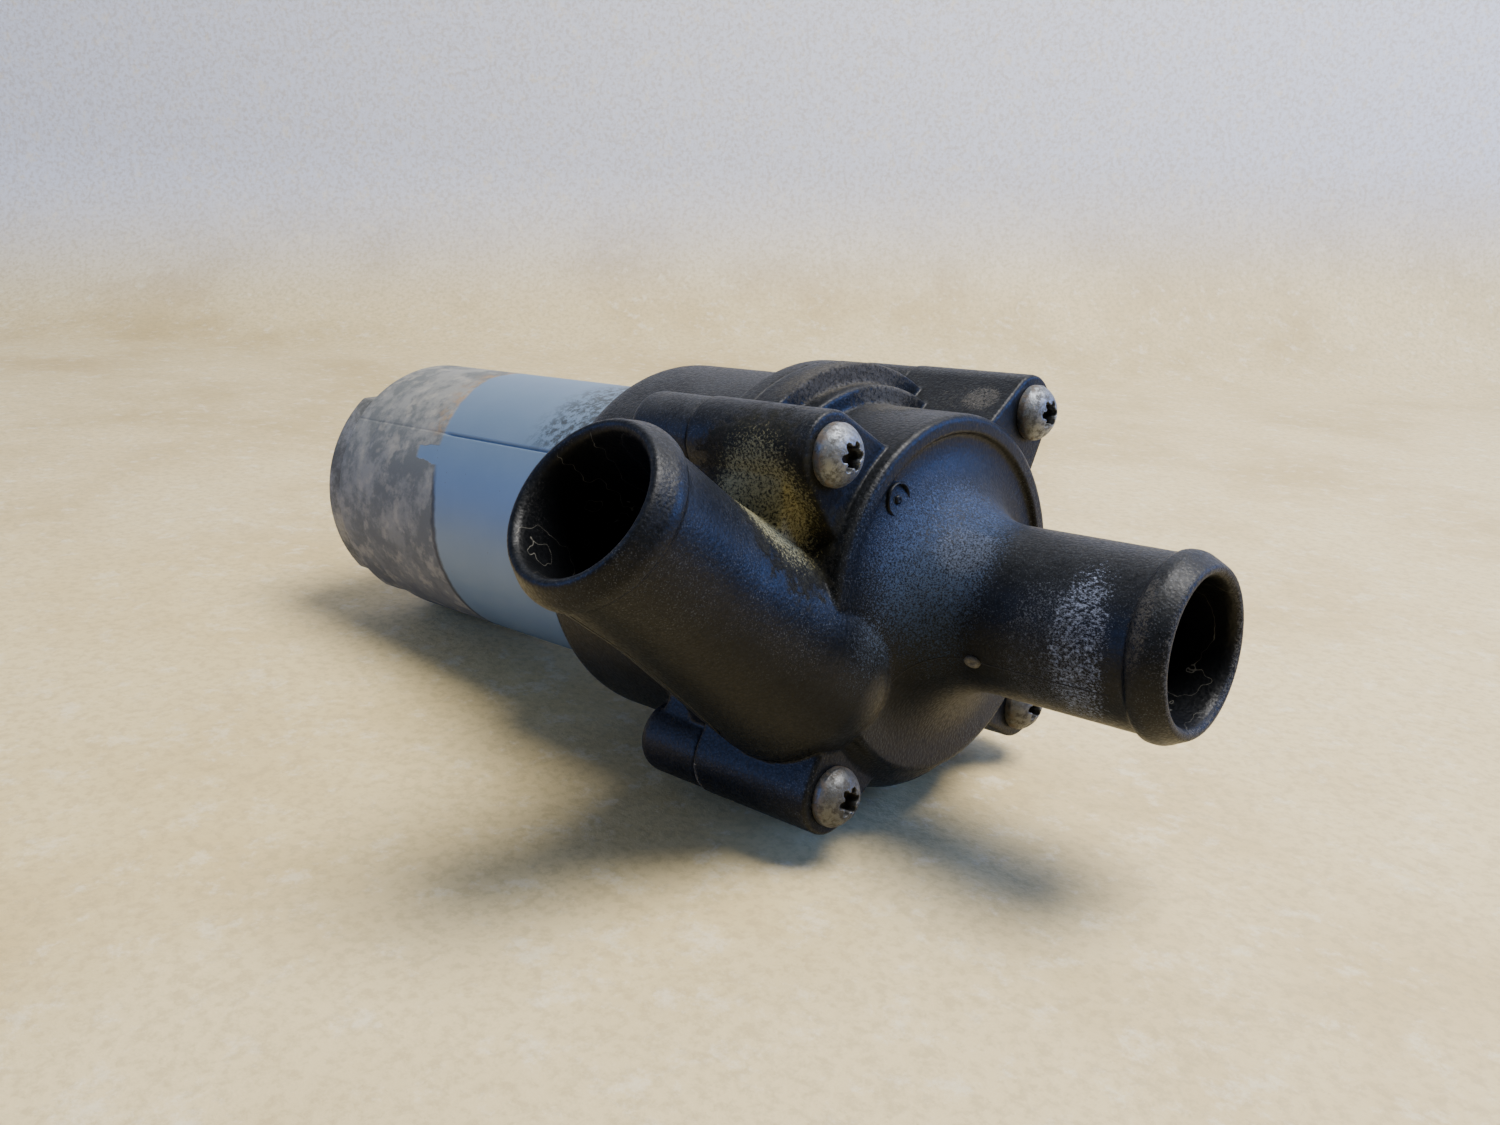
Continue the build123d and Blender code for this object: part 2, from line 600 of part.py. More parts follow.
def link_strip(z):
    """One contact strip: a blade in the socket, a link through the wall and a tail into the motor."""
    low = z - BLADE_W / 2
    high = z + BLADE_W / 2
    top_y = SOCKET_Y + BLADE_THICK / 2
    strip = brick(SOCKET_FLOOR_X - BLADE_STICK, LINK_X + BLADE_THICK, top_y - BLADE_THICK, top_y, low, high)
    strip += brick(LINK_X, LINK_X + BLADE_THICK, TAIL_Y - BLADE_THICK / 2, top_y, low, high)
    tail_low = TAIL_Y - BLADE_THICK / 2
    strip += brick(CARD_REAR_X - TAIL_LEN, LINK_X + BLADE_THICK, tail_low, tail_low + BLADE_THICK, low, high)
    return strip


def terminals():
    """Both contact strips."""
    return [link_strip(z) for z in (-BLADE_PITCH / 2, BLADE_PITCH / 2)]


def pump_housing():
    """Middle housing: screw flange in front, magnet coupling inside, motor socket and plug socket behind."""
    rear_x = HOUSING_END_X
    barrel = rod(JOINT_X, rear_x, HOUSING_R)
    body = fillet(front_edges(barrel, rear_x), min(SHOULDER_ROUND, HOUSING_R - MOTOR_R + 1.8))
    flange = rod(JOINT_X, JOINT_X - FLANGE_REAR_T, FLANGE_R - CARD_FIT)
    body += fillet(front_edges(flange, JOINT_X - FLANGE_REAR_T), REAR_FLANGE_ROUND)
    for y, z in BOSS_SPOTS:
        boss = rod(JOINT_X, JOINT_X - REAR_BOSS_LEN, BOSS_R - REAR_INSET, y, z)
        body += fillet(front_edges(boss, JOINT_X - REAR_BOSS_LEN), REAR_BOSS_ROUND)
        arm = belt((0, 0), EAR_ROOT_R, (y, z), BOSS_R - REAR_WEB_INSET)
        body += plate(arm, JOINT_X, JOINT_X - REAR_BOSS_LEN + REAR_WEB_BACK)
    socket = plate(socket_outline(SOCKET_W, SOCKET_H, SOCKET_CORNER), SOCKET_MOUTH_X, SOCKET_FRONT_X)
    socket = fillet(front_edges(socket, SOCKET_FRONT_X), SOCKET_ROUND)
    root_y = SOCKET_Y + SOCKET_H / 2 - NIB_ROOT
    nib_end_x = SOCKET_MOUTH_X + NIB_END
    nib_tip = (nib_end_x, root_y + NIB_ROOT + NIB_RISE)
    ramp = Polyline((SOCKET_MOUTH_X + NIB_START, root_y), nib_tip, (nib_end_x, root_y), close=True)
    nib = extrude(make_face(ramp), amount=NIB_HALF, both=True)
    cavity_outline = socket_outline(SOCKET_W - 2 * SOCKET_WALL, SOCKET_H - 2 * SOCKET_WALL, CAVITY_CORNER)
    cavity = plate(cavity_outline, SOCKET_MOUTH_X - OVER, SOCKET_FLOOR_X)
    body += socket + nib
    body -= rod(JOINT_X + OVER, JOINT_X - CAN_PLATE_T, RECESS_R)
    ledge_x = JOINT_X - CAN_PLATE_T - LEDGE_T
    body -= rod(JOINT_X, ledge_x, LEDGE_R)
    body -= rod(ledge_x, BULKHEAD_X, HOUSING_BORE_R)
    body -= rod(BULKHEAD_X + OVER, MOTOR_X - OVER, SHAFT_HOLE_R)
    body -= rod(MOTOR_X, rear_x - OVER, PILOT_R + TUBE_FIT)
    body -= cavity
    for side in (1, -1):
        post = rod(MOTOR_X + SINK, MOTOR_X - POST_LEN, BOLT_R + POST_WALL, z=side * BOLT_CIRCLE_R)
        body += post & rod(MOTOR_X + SINK, MOTOR_X - POST_LEN, CARD_R)
        bolt_end_x = BULKHEAD_X - BOLT_TIP_BACK + BOLT_END_ROOM
        body -= rod(bolt_end_x, MOTOR_X - POST_LEN - OVER, BOLT_R, z=side * BOLT_CIRCLE_R)
    for y, z in BOSS_SPOTS:
        body -= rod(JOINT_X + OVER, -SCREW_LEN - SCREW_END_ROOM, SCREW_R, y, z)
    for strip in terminals():
        body -= strip
    return body


def drive_magnet():
    """Outer magnet ring of the coupling."""
    return ring(CARRIER_FRONT_X, CARRIER_DISC_X + MAGNET_INSET, DRIVE_R, DRIVE_BORE_R)


def magnet_carrier():
    """Steel cup on the motor shaft that holds the outer magnet ring around the can."""
    cup = rod(CARRIER_FRONT_X, CARRIER_REAR_X, CARRIER_R)
    cup -= rod(CARRIER_FRONT_X + OVER, CARRIER_DISC_X, DRIVE_R)
    cup += rod(CARRIER_REAR_X + SINK, CARRIER_HUB_X, CARRIER_HUB_R)
    return cup - rod(CARRIER_DISC_X + OVER, CARRIER_HUB_X - OVER, SHAFT_R)


# ---------------------------------------------------------------- motor
def motor_gasket():
    """Flat gasket between the motor tube and the housing."""
    return ring(MOTOR_X, TUBE_FRONT_X, PILOT_R, TUBE_BORE_R)


def pole_tube():
    """Rolled steel motor tube: a pilot in front, an axial seam and a keyway in the rear rim."""
    tube = ring(PILOT_END_X, TUBE_END_X, MOTOR_R, TUBE_BORE_R)
    tube += ring(TUBE_FRONT_X, PILOT_END_X, PILOT_R, TUBE_BORE_R)
    groove = brick(TUBE_FRONT_X + OVER, TUBE_END_X - OVER, MOTOR_R - SEAM_DEPTH, MOTOR_R + OVER,
                   -SEAM_W / 2, SEAM_W / 2)
    tube -= about_x(groove, pi - SEAM_ANGLE)
    keyway = sector(TUBE_END_X + KEY_LEN, TUBE_END_X - OVER, MOTOR_R + OVER, TUBE_BORE_R - OVER,
                    pi - KEY_ANGLE, KEY_HALF)
    return tube - keyway


def rear_cap():
    """Rear end cap: a plug with a key, an outer disc with two flats and a seat for the rear bearing."""
    cap = rod(TUBE_END_X + CAP_PLUG_LEN, TUBE_END_X, TUBE_BORE_R - TUBE_FIT)
    inner_r = TUBE_BORE_R - TUBE_FIT - CAP_PLUG_WALL
    cap -= rod(TUBE_END_X + CAP_PLUG_LEN + OVER, TUBE_END_X + CAP_FLOOR, inner_r)
    disc = rod(TUBE_END_X, CAP_REAR_X, CAP_R)
    side_y = CAP_R + OVER
    disc &= brick(TUBE_END_X + OVER, CAP_REAR_X - OVER, -side_y, side_y, -CAP_FLAT_BOTTOM, CAP_FLAT_TOP)
    cap += fillet(front_edges(disc, CAP_REAR_X), CAP_ROUND)
    cap += rod(TUBE_END_X + CAP_FLOOR, REAR_BEARING_X + BEARING_W, BEARING_SEAT_R)
    cap += rod(CAP_REAR_X + SINK, CAP_REAR_X - CAP_BOSS_RISE, BEARING_SEAT_R)
    key_half = KEY_HALF - KEY_PLAY / MOTOR_R
    cap += sector(TUBE_END_X + KEY_LEN - KEY_PLAY, TUBE_END_X, MOTOR_R - KEY_DROP, TUBE_BORE_R - KEY_ROOT,
                  pi - KEY_ANGLE, key_half)
    cap -= rod(REAR_BEARING_X, REAR_BEARING_X + BEARING_W + OVER, BEARING_R)
    cap -= rod(REAR_BEARING_X + OVER, REAR_BEARING_X - CAP_SHAFT_ROOM, SHAFT_R + CAP_SHAFT_EASE)
    for side in (1, -1):
        z = side * BOLT_CIRCLE_R
        cap -= rod(TUBE_END_X + CAP_PLUG_LEN + OVER, CAP_REAR_X - OVER, BOLT_R + CAP_BOLT_EASE, z=z)
        cap -= rod(TUBE_END_X - BOLT_SEAT_BACK, CAP_REAR_X - OVER, BOLT_HEAD_R + CAP_HEAD_EASE, z=z)
    return cap


def motor_bolts():
    """Two long bolts that clamp the rear cap, the motor tube and the housing together."""
    seat_x = TUBE_END_X - BOLT_SEAT_BACK
    end_x = seat_x - BOLT_HEAD_H
    bolts = []
    for side in (1, -1):
        z = side * BOLT_CIRCLE_R
        head = fillet(front_edges(rod(seat_x, end_x, BOLT_HEAD_R, z=z), end_x), BOLT_HEAD_ROUND)
        head -= brick(end_x - OVER, end_x + BOLT_SLOT_DEPTH, -BOLT_HEAD_R - OVER, BOLT_HEAD_R + OVER,
                      z - BOLT_SLOT_HALF, z + BOLT_SLOT_HALF)
        bolts.append(head + rod(seat_x - SINK, BULKHEAD_X - BOLT_TIP_BACK, BOLT_R, z=z))
    return bolts


def front_bearing():
    """Sintered bearing in the brush card."""
    return ring(FRONT_BEARING_X, FRONT_BEARING_X - BEARING_W, BEARING_R, SHAFT_R + RUNNING_FIT)


def rear_bearing():
    """Sintered bearing in the rear cap."""
    return ring(REAR_BEARING_X + BEARING_W, REAR_BEARING_X, BEARING_R, SHAFT_R + RUNNING_FIT)


def bearing_clips():
    """Two spring washers that hold the bearings in their seats."""
    front_x = FRONT_BEARING_X - BEARING_W
    rear_x = REAR_BEARING_X + BEARING_W
    bore_r = SHAFT_R + CLIP_RING_EASE
    front = ring(front_x, front_x - CLIP_RING_T, BEARING_R, bore_r)
    return [front, ring(rear_x, rear_x + CLIP_RING_T, BEARING_SEAT_R, bore_r)]


def motor_shaft():
    """Steel shaft from the magnet carrier to the rear bearing."""
    shaft = rod(SHAFT_FRONT_X, SHAFT_REAR_X, SHAFT_R)
    return chamfer(shaft.edges().filter_by(GeomType.CIRCLE), SHAFT_CHAMFER)


def armature_core():
    """Laminated core with open slots."""
    core = rod(CORE_X, CORE_END_X, CORE_HUB_R)
    shoes = ring(CORE_X, CORE_END_X, ARMATURE_R, ARMATURE_R - SHOE_T)
    for k in range(SLOT_COUNT):
        turn = 2 * pi * k / SLOT_COUNT
        tooth = brick(CORE_X, CORE_END_X, TOOTH_FOOT_R, ARMATURE_R - TOOTH_LAP, -TOOTH_W / 2, TOOTH_W / 2)
        core += about_x(tooth, turn)
        gap = brick(CORE_X + OVER, CORE_END_X - OVER, ARMATURE_R - SLOT_CUT, ARMATURE_R + OVER,
                    -SLOT_OPENING / 2, SLOT_OPENING / 2)
        shoes -= about_x(gap, turn + pi / SLOT_COUNT)
    return core + shoes - rod(CORE_X + OVER, CORE_END_X - OVER, SHAFT_R)


def armature_windings():
    """One wound coil around each tooth."""
    half = TOOTH_W / 2 + COIL_T
    inner_r = COIL_FOOT_R
    outer_r = ARMATURE_R - COIL_INSET
    outside = brick(CORE_X + OVERHANG, CORE_END_X - OVERHANG, inner_r, outer_r, -half, half)
    outside = fillet(outside.edges().filter_by(Axis.Y), COIL_ROUND)
    inside = brick(CORE_X, CORE_END_X, inner_r - OVER, outer_r + OVER, -TOOTH_W / 2, TOOTH_W / 2)
    coil = outside - inside
    return [about_x(coil, 2 * pi * k / SLOT_COUNT) for k in range(SLOT_COUNT)]


def commutator_hub():
    """Moulded insulating hub of the commutator."""
    end_x = COMMUTATOR_X - COMMUTATOR_LEN
    return ring(COMMUTATOR_X, end_x - HUB_LIP, COMMUTATOR_R - BAR_T, SHAFT_R)


def commutator_bars():
    """Copper bars around the hub."""
    end_x = COMMUTATOR_X - COMMUTATOR_LEN
    half = pi / SLOT_COUNT - BAR_GAP / COMMUTATOR_R
    bar = sector(COMMUTATOR_X, end_x, COMMUTATOR_R, COMMUTATOR_R - BAR_T, 0, half)
    return [about_x(bar, 2 * pi * k / SLOT_COUNT) for k in range(SLOT_COUNT)]


def float_washers():
    """Two washers on the shaft that limit its end play."""
    front_x = FRONT_BEARING_X - BEARING_W - FLOAT_GAP
    rear_x = REAR_BEARING_X + BEARING_W + FLOAT_GAP
    outer = SHAFT_R + FLOAT_WASHER_WALL
    return [ring(x, x + step, outer, SHAFT_R) for x, step in ((front_x, -CLIP_RING_T), (rear_x, CLIP_RING_T))]


def field_magnets():
    """Two arc magnets on the wall of the motor tube."""
    front_x = CORE_X + OVERHANG
    rear_x = CORE_END_X - OVERHANG
    inner = MAGNET_R - MAGNET_T
    return [sector(front_x, rear_x, MAGNET_R, inner, middle, MAGNET_HALF) for middle in (0, pi)]


def magnet_clips():
    """Two bowed strips that press the magnets apart against the tube."""
    gap_half = pi / 2 - MAGNET_HALF - MAGNET_STRIP_PLAY
    front_x = CORE_X - OVER
    rear_x = CORE_END_X + OVER
    inner = MAGNET_R - MAGNET_STRIP_T
    return [sector(front_x, rear_x, MAGNET_R, inner, middle, gap_half) for middle in (pi / 2, -pi / 2)]


def brush_card():
    """Moulded plate with the front bearing seat and a pedestal for each brush holder."""
    card = rod(MOTOR_X, CARD_REAR_X, CARD_R) + rod(MOTOR_X, CARD_BOSS_X, BEARING_SEAT_R)
    top_x = BRUSH_MID_X + BRUSH_X / 2 + BRUSH_FIT + HOLDER_WALL
    for side in (1, -1):
        card += brick(MOTOR_X - OVER, top_x, side * (HOLDER_START_R + PEDESTAL_INNER),
                      side * (HOLDER_END_R - PEDESTAL_OUTER), -PEDESTAL_HALF, PEDESTAL_HALF)
        card -= rod(MOTOR_X + OVER, CARD_REAR_X - OVER, BOLT_R + CARD_BOLT_EASE, z=side * BOLT_CIRCLE_R)
    card -= rod(FRONT_BEARING_X, CARD_BOSS_X - OVER, BEARING_R)
    card -= rod(MOTOR_X + OVER, FRONT_BEARING_X - OVER, SHAFT_R + CARD_SHAFT_EASE)
    for strip in terminals():
        card -= strip
    return card


def holder_box(side):
    """One brass brush box, closed at its outer end."""
    half_x = BRUSH_X / 2 + BRUSH_FIT
    half_z = BRUSH_W / 2 + BRUSH_FIT
    wall = HOLDER_WALL
    box = brick(BRUSH_MID_X - half_x - wall, BRUSH_MID_X + half_x + wall,
                side * HOLDER_START_R, side * HOLDER_END_R, -half_z - wall, half_z + wall)
    return box - brick(BRUSH_MID_X - half_x, BRUSH_MID_X + half_x, side * (HOLDER_START_R - OVER),
                       side * (HOLDER_END_R - wall), -half_z, half_z)


def brush_holders():
    """Both brush boxes."""
    return [holder_box(1), holder_box(-1)]


def brush(side):
    """One carbon brush with its face hollowed to the commutator."""
    block = brick(BRUSH_MID_X - BRUSH_X / 2, BRUSH_MID_X + BRUSH_X / 2,
                  side * (BRUSH_TIP_R - OVER), side * BRUSH_TAIL_R, -BRUSH_W / 2, BRUSH_W / 2)
    return block - rod(BRUSH_MID_X - BRUSH_X, BRUSH_MID_X + BRUSH_X, BRUSH_TIP_R)


def brush_spring(side):
    """One coil spring, drawn as its close-wound envelope, between brush and holder."""
    outer = BRUSH_W / 2 - SPRING_EASE
    inner = outer - 2 * SPRING_WIRE_R
    start = BRUSH_TAIL_R
    length = HOLDER_END_R - HOLDER_WALL - start
    shell = Cylinder(outer, length) - Cylinder(inner, length + OVER)
    spring = Pos(BRUSH_MID_X, side * (start + length / 2), 0) * Rot(90, 0, 0) * shell
    for k in range(SPRING_TURNS):
        y = start + length * (k + 0.5) / SPRING_TURNS
        groove = Cylinder(outer + OVER, SPRING_GROOVE) - Cylinder(outer - SPRING_WIRE_R, OVER)
        spring -= Pos(BRUSH_MID_X, side * y, 0) * Rot(90, 0, 0) * groove
    return spring


def suppression_chokes():
    """Two rod chokes in line with the contact strips."""
    y, z = CHOKE_SPOT
    return [rod(CARD_REAR_X, CARD_REAR_X - CHOKE_LEN, CHOKE_R, side * y, side * z) for side in (1, -1)]


def suppression_capacitor():
    """Film capacitor across the brushes."""
    block = brick(CARD_REAR_X, CARD_REAR_X - CAPACITOR_LEN, *CAPACITOR_Y, *CAPACITOR_Z)
    return fillet(block.edges().filter_by(Axis.X), CAPACITOR_ROUND)


NODES = {
    "volute_cover": volute_cover,
    "cover_screws": cover_screws,
    "cover_seal": cover_seal,
    "separating_can": separating_can,
    "impeller_pin": impeller_pin,
    "thrust_washers": thrust_washers,
    "pin_retainer": pin_retainer,
    "impeller": impeller,
    "driven_magnet": driven_magnet,
    "impeller_bush": impeller_bush,
    "pump_housing": pump_housing,
    "terminals": terminals,
    "drive_magnet": drive_magnet,
    "magnet_carrier": magnet_carrier,
    "motor_gasket": motor_gasket,
    "pole_tube": pole_tube,
    "rear_cap": rear_cap,
    "motor_bolts": motor_bolts,
    "front_bearing": front_bearing,
    "rear_bearing": rear_bearing,
    "bearing_clips": bearing_clips,
    "motor_shaft": motor_shaft,
    "armature_core": armature_core,
    "armature_windings": armature_windings,
    "commutator_hub": commutator_hub,
    "commutator_bars": commutator_bars,
    "float_washers": float_washers,
    "field_magnets": field_magnets,
    "magnet_clips": magnet_clips,
    "brush_card": brush_card,
    "brush_holders": brush_holders,
    "brush_near": lambda: brush(-1),
    "brush_far": lambda: brush(1),
    "brush_spring_near": lambda: brush_spring(-1),
    "brush_spring_far": lambda: brush_spring(1),
    "suppression_chokes": suppression_chokes,
    "suppression_capacitor": suppression_capacitor,
}

os.makedirs("parts", exist_ok=True)
for node, make in NODES.items():
    made = make()
    if isinstance(made, list):
        made = Compound(children=[solid for piece in made for solid in piece.solids()])
    export_step(made, f"parts/{node}.step")
    print(node, "solids", len(made.solids()))
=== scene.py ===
"""Looks of an electric circulating pump: black mouldings, a blue-grey motor tube and weathered screws."""

import json
import logging
import math
from dataclasses import dataclass
from enum import Enum

import bpy
import numpy as np
from mathutils import Matrix, Vector

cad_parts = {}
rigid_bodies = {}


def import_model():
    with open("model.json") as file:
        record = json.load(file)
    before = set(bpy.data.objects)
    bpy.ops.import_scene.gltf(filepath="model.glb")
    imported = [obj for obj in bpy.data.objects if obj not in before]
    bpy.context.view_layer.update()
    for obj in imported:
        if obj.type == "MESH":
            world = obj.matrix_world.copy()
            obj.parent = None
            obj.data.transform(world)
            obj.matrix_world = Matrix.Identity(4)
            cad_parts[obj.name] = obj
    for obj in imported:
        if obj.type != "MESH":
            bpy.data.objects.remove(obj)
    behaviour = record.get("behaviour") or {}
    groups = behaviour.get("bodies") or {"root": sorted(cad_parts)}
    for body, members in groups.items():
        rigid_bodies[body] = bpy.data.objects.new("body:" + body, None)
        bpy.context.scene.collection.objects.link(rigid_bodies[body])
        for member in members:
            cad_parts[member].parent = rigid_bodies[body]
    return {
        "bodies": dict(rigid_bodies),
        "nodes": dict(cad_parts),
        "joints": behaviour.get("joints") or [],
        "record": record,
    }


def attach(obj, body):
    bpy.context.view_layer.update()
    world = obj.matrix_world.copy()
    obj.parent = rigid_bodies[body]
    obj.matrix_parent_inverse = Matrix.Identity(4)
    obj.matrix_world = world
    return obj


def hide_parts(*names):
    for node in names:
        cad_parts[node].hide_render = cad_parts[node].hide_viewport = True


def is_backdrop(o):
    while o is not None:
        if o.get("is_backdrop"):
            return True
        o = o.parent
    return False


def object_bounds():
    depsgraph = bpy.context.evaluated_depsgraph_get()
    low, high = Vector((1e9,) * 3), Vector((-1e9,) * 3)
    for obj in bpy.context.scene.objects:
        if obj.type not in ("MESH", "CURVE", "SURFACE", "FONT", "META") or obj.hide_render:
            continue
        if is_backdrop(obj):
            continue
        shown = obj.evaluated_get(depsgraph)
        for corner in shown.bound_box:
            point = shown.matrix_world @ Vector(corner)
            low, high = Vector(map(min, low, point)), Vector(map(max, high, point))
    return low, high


LOG = logging.getLogger("pump")
MM = 0.001
Point = tuple[float, float, float]
Outline = list[tuple[float, float]]
Way = list[tuple[np.ndarray, np.ndarray]]

# Settings that many nodes share.
SMOOTH = {"interpolation_type": "SMOOTHSTEP"}
TIMES = {"operation": "MULTIPLY"}
MINUS = {"operation": "SUBTRACT"}
BLEND = {"data_type": "RGBA"}

# Turns a solid of revolution from its own Z to the pump's X.
ALONG_X = Matrix(((0, 0, 1, 0), (1, 0, 0, 0), (0, 1, 0, 0), (0, 0, 0, 1)))


def srgb(code: str) -> tuple[float, float, float, float]:
    """Turns a colour to linear light.

    Args:
        code: The sRGB colour as # and six hex digits.

    Returns:
        Linear red, green, blue and a full alpha.
    """
    parts = [int(code[i : i + 2], 16) / 255 for i in (1, 3, 5)]
    linear = [c / 12.92 if c <= 0.04045 else ((c + 0.055) / 1.055) ** 2.4 for c in parts]
    return (*linear, 1.0)


# ---------------------------------------------------------------- materials
class Graph:
    """A material's node tree, written in millimetres of the pump's own frame."""

    def __init__(self, name: str) -> None:
        """Starts a material with the places and directions that its patterns use.

        Args:
            name: The material's name.
        """
        self.material = bpy.data.materials.new(name)
        self.material.use_nodes = True
        self.tree = self.material.node_tree
        self.tree.nodes.clear()
        self.mm = self.add("VectorMath", self.add("TexCoord", out="Object"), 1 / MM, operation="SCALE")
        self.x, self.y, self.z = self.add("SeparateXYZ", self.mm).node.outputs
        self.up = self.add("SeparateXYZ", self.add("NewGeometry", out="Normal"), out="Z")

    def add(self, kind: str, *values: object, out: str = "", **named: object) -> bpy.types.NodeSocket:
        """Adds a node with its settings and links.

        Args:
            kind: The node's type name, without its ShaderNode prefix.
            values: Numbers, colours or other nodes' outputs for the inputs in use, in order.
            out: The name of the output wanted, or nothing for the first one in use.
            named: Settings, in lower case, and inputs by name, with a capital and _ for each space.

        Returns:
            The output wanted.
        """
        node = self.tree.nodes.new("ShaderNode" + kind)
        for key, value in named.items():
            if key[0].islower():
                setattr(node, key, value)
        pairs = list(zip([socket for socket in node.inputs if socket.enabled], values))
        pairs += [(node.inputs[k.replace("_", " ")], v) for k, v in named.items() if k[0].isupper()]
        for socket, value in pairs:
            if isinstance(value, bpy.types.NodeSocket):
                self.tree.links.new(value, socket)
            else:
                socket.default_value = value
        return node.outputs[out] if out else next(socket for socket in node.outputs if socket.enabled)

    def place(self, stretch: Point) -> bpy.types.NodeSocket:
        """Gives the place in millimetres, for a pattern drawn out along some axes.

        Args:
            stretch: How many times longer the pattern is along each axis.

        Returns:
            The place to look the pattern up at.
        """
        if stretch == (1.0, 1.0, 1.0):
            return self.mm
        return self.add("VectorMath", self.mm, stretch, operation="DIVIDE")

    def finish(self, **sockets: object) -> bpy.types.Material:
        """Closes the tree with its shader.

        Args:
            sockets: The shader's inputs, by name.

        Returns:
            The material.
        """
        shader = self.add("BsdfPrincipled", **sockets)
        output = self.tree.nodes.new("ShaderNodeOutputMaterial")
        self.tree.links.new(shader, output.inputs["Surface"])
        return self.material


@dataclass(frozen=True)
class StainAndSheen:
    """Soil, scuffing, salt or a painted highlight, lying around one place and torn into specks."""

    centre: Point
    reach: Point
    colour: str
    strength: float
    grain: float = 1.2
    gaps: float = 0.5
    stretch: Point = (1.0, 1.0, 1.0)

    def amount(self, graph: Graph) -> bpy.types.NodeSocket:
        """Adds the nodes that say where the patch lies.

        Args:
            graph: The material's tree.

        Returns:
            0 where the surface is untouched, up to the patch's strength.
        """
        add = graph.add
        away = add("VectorMath", graph.mm, self.centre, **MINUS)
        scaled = add("VectorMath", away, self.reach, operation="DIVIDE")
        near = add("MapRange", add("VectorMath", scaled, operation="LENGTH"), 1.0, 0.35, **SMOOTH)
        place = graph.place(self.stretch)
        torn = add("TexNoise", Vector=place, Scale=1 / self.grain, Detail=8.0, Roughness=0.8)
        specks = add("Math", add("Math", torn, self.gaps, **MINUS), 3.2, **TIMES)
        level = add("MapRange", add("Math", near, specks), 0.45, 0.9, **SMOOTH)
        edge = add("MapRange", near, 0.0, 0.25, **SMOOTH)
        return add("Math", add("Math", level, self.strength, **TIMES), edge, **TIMES)


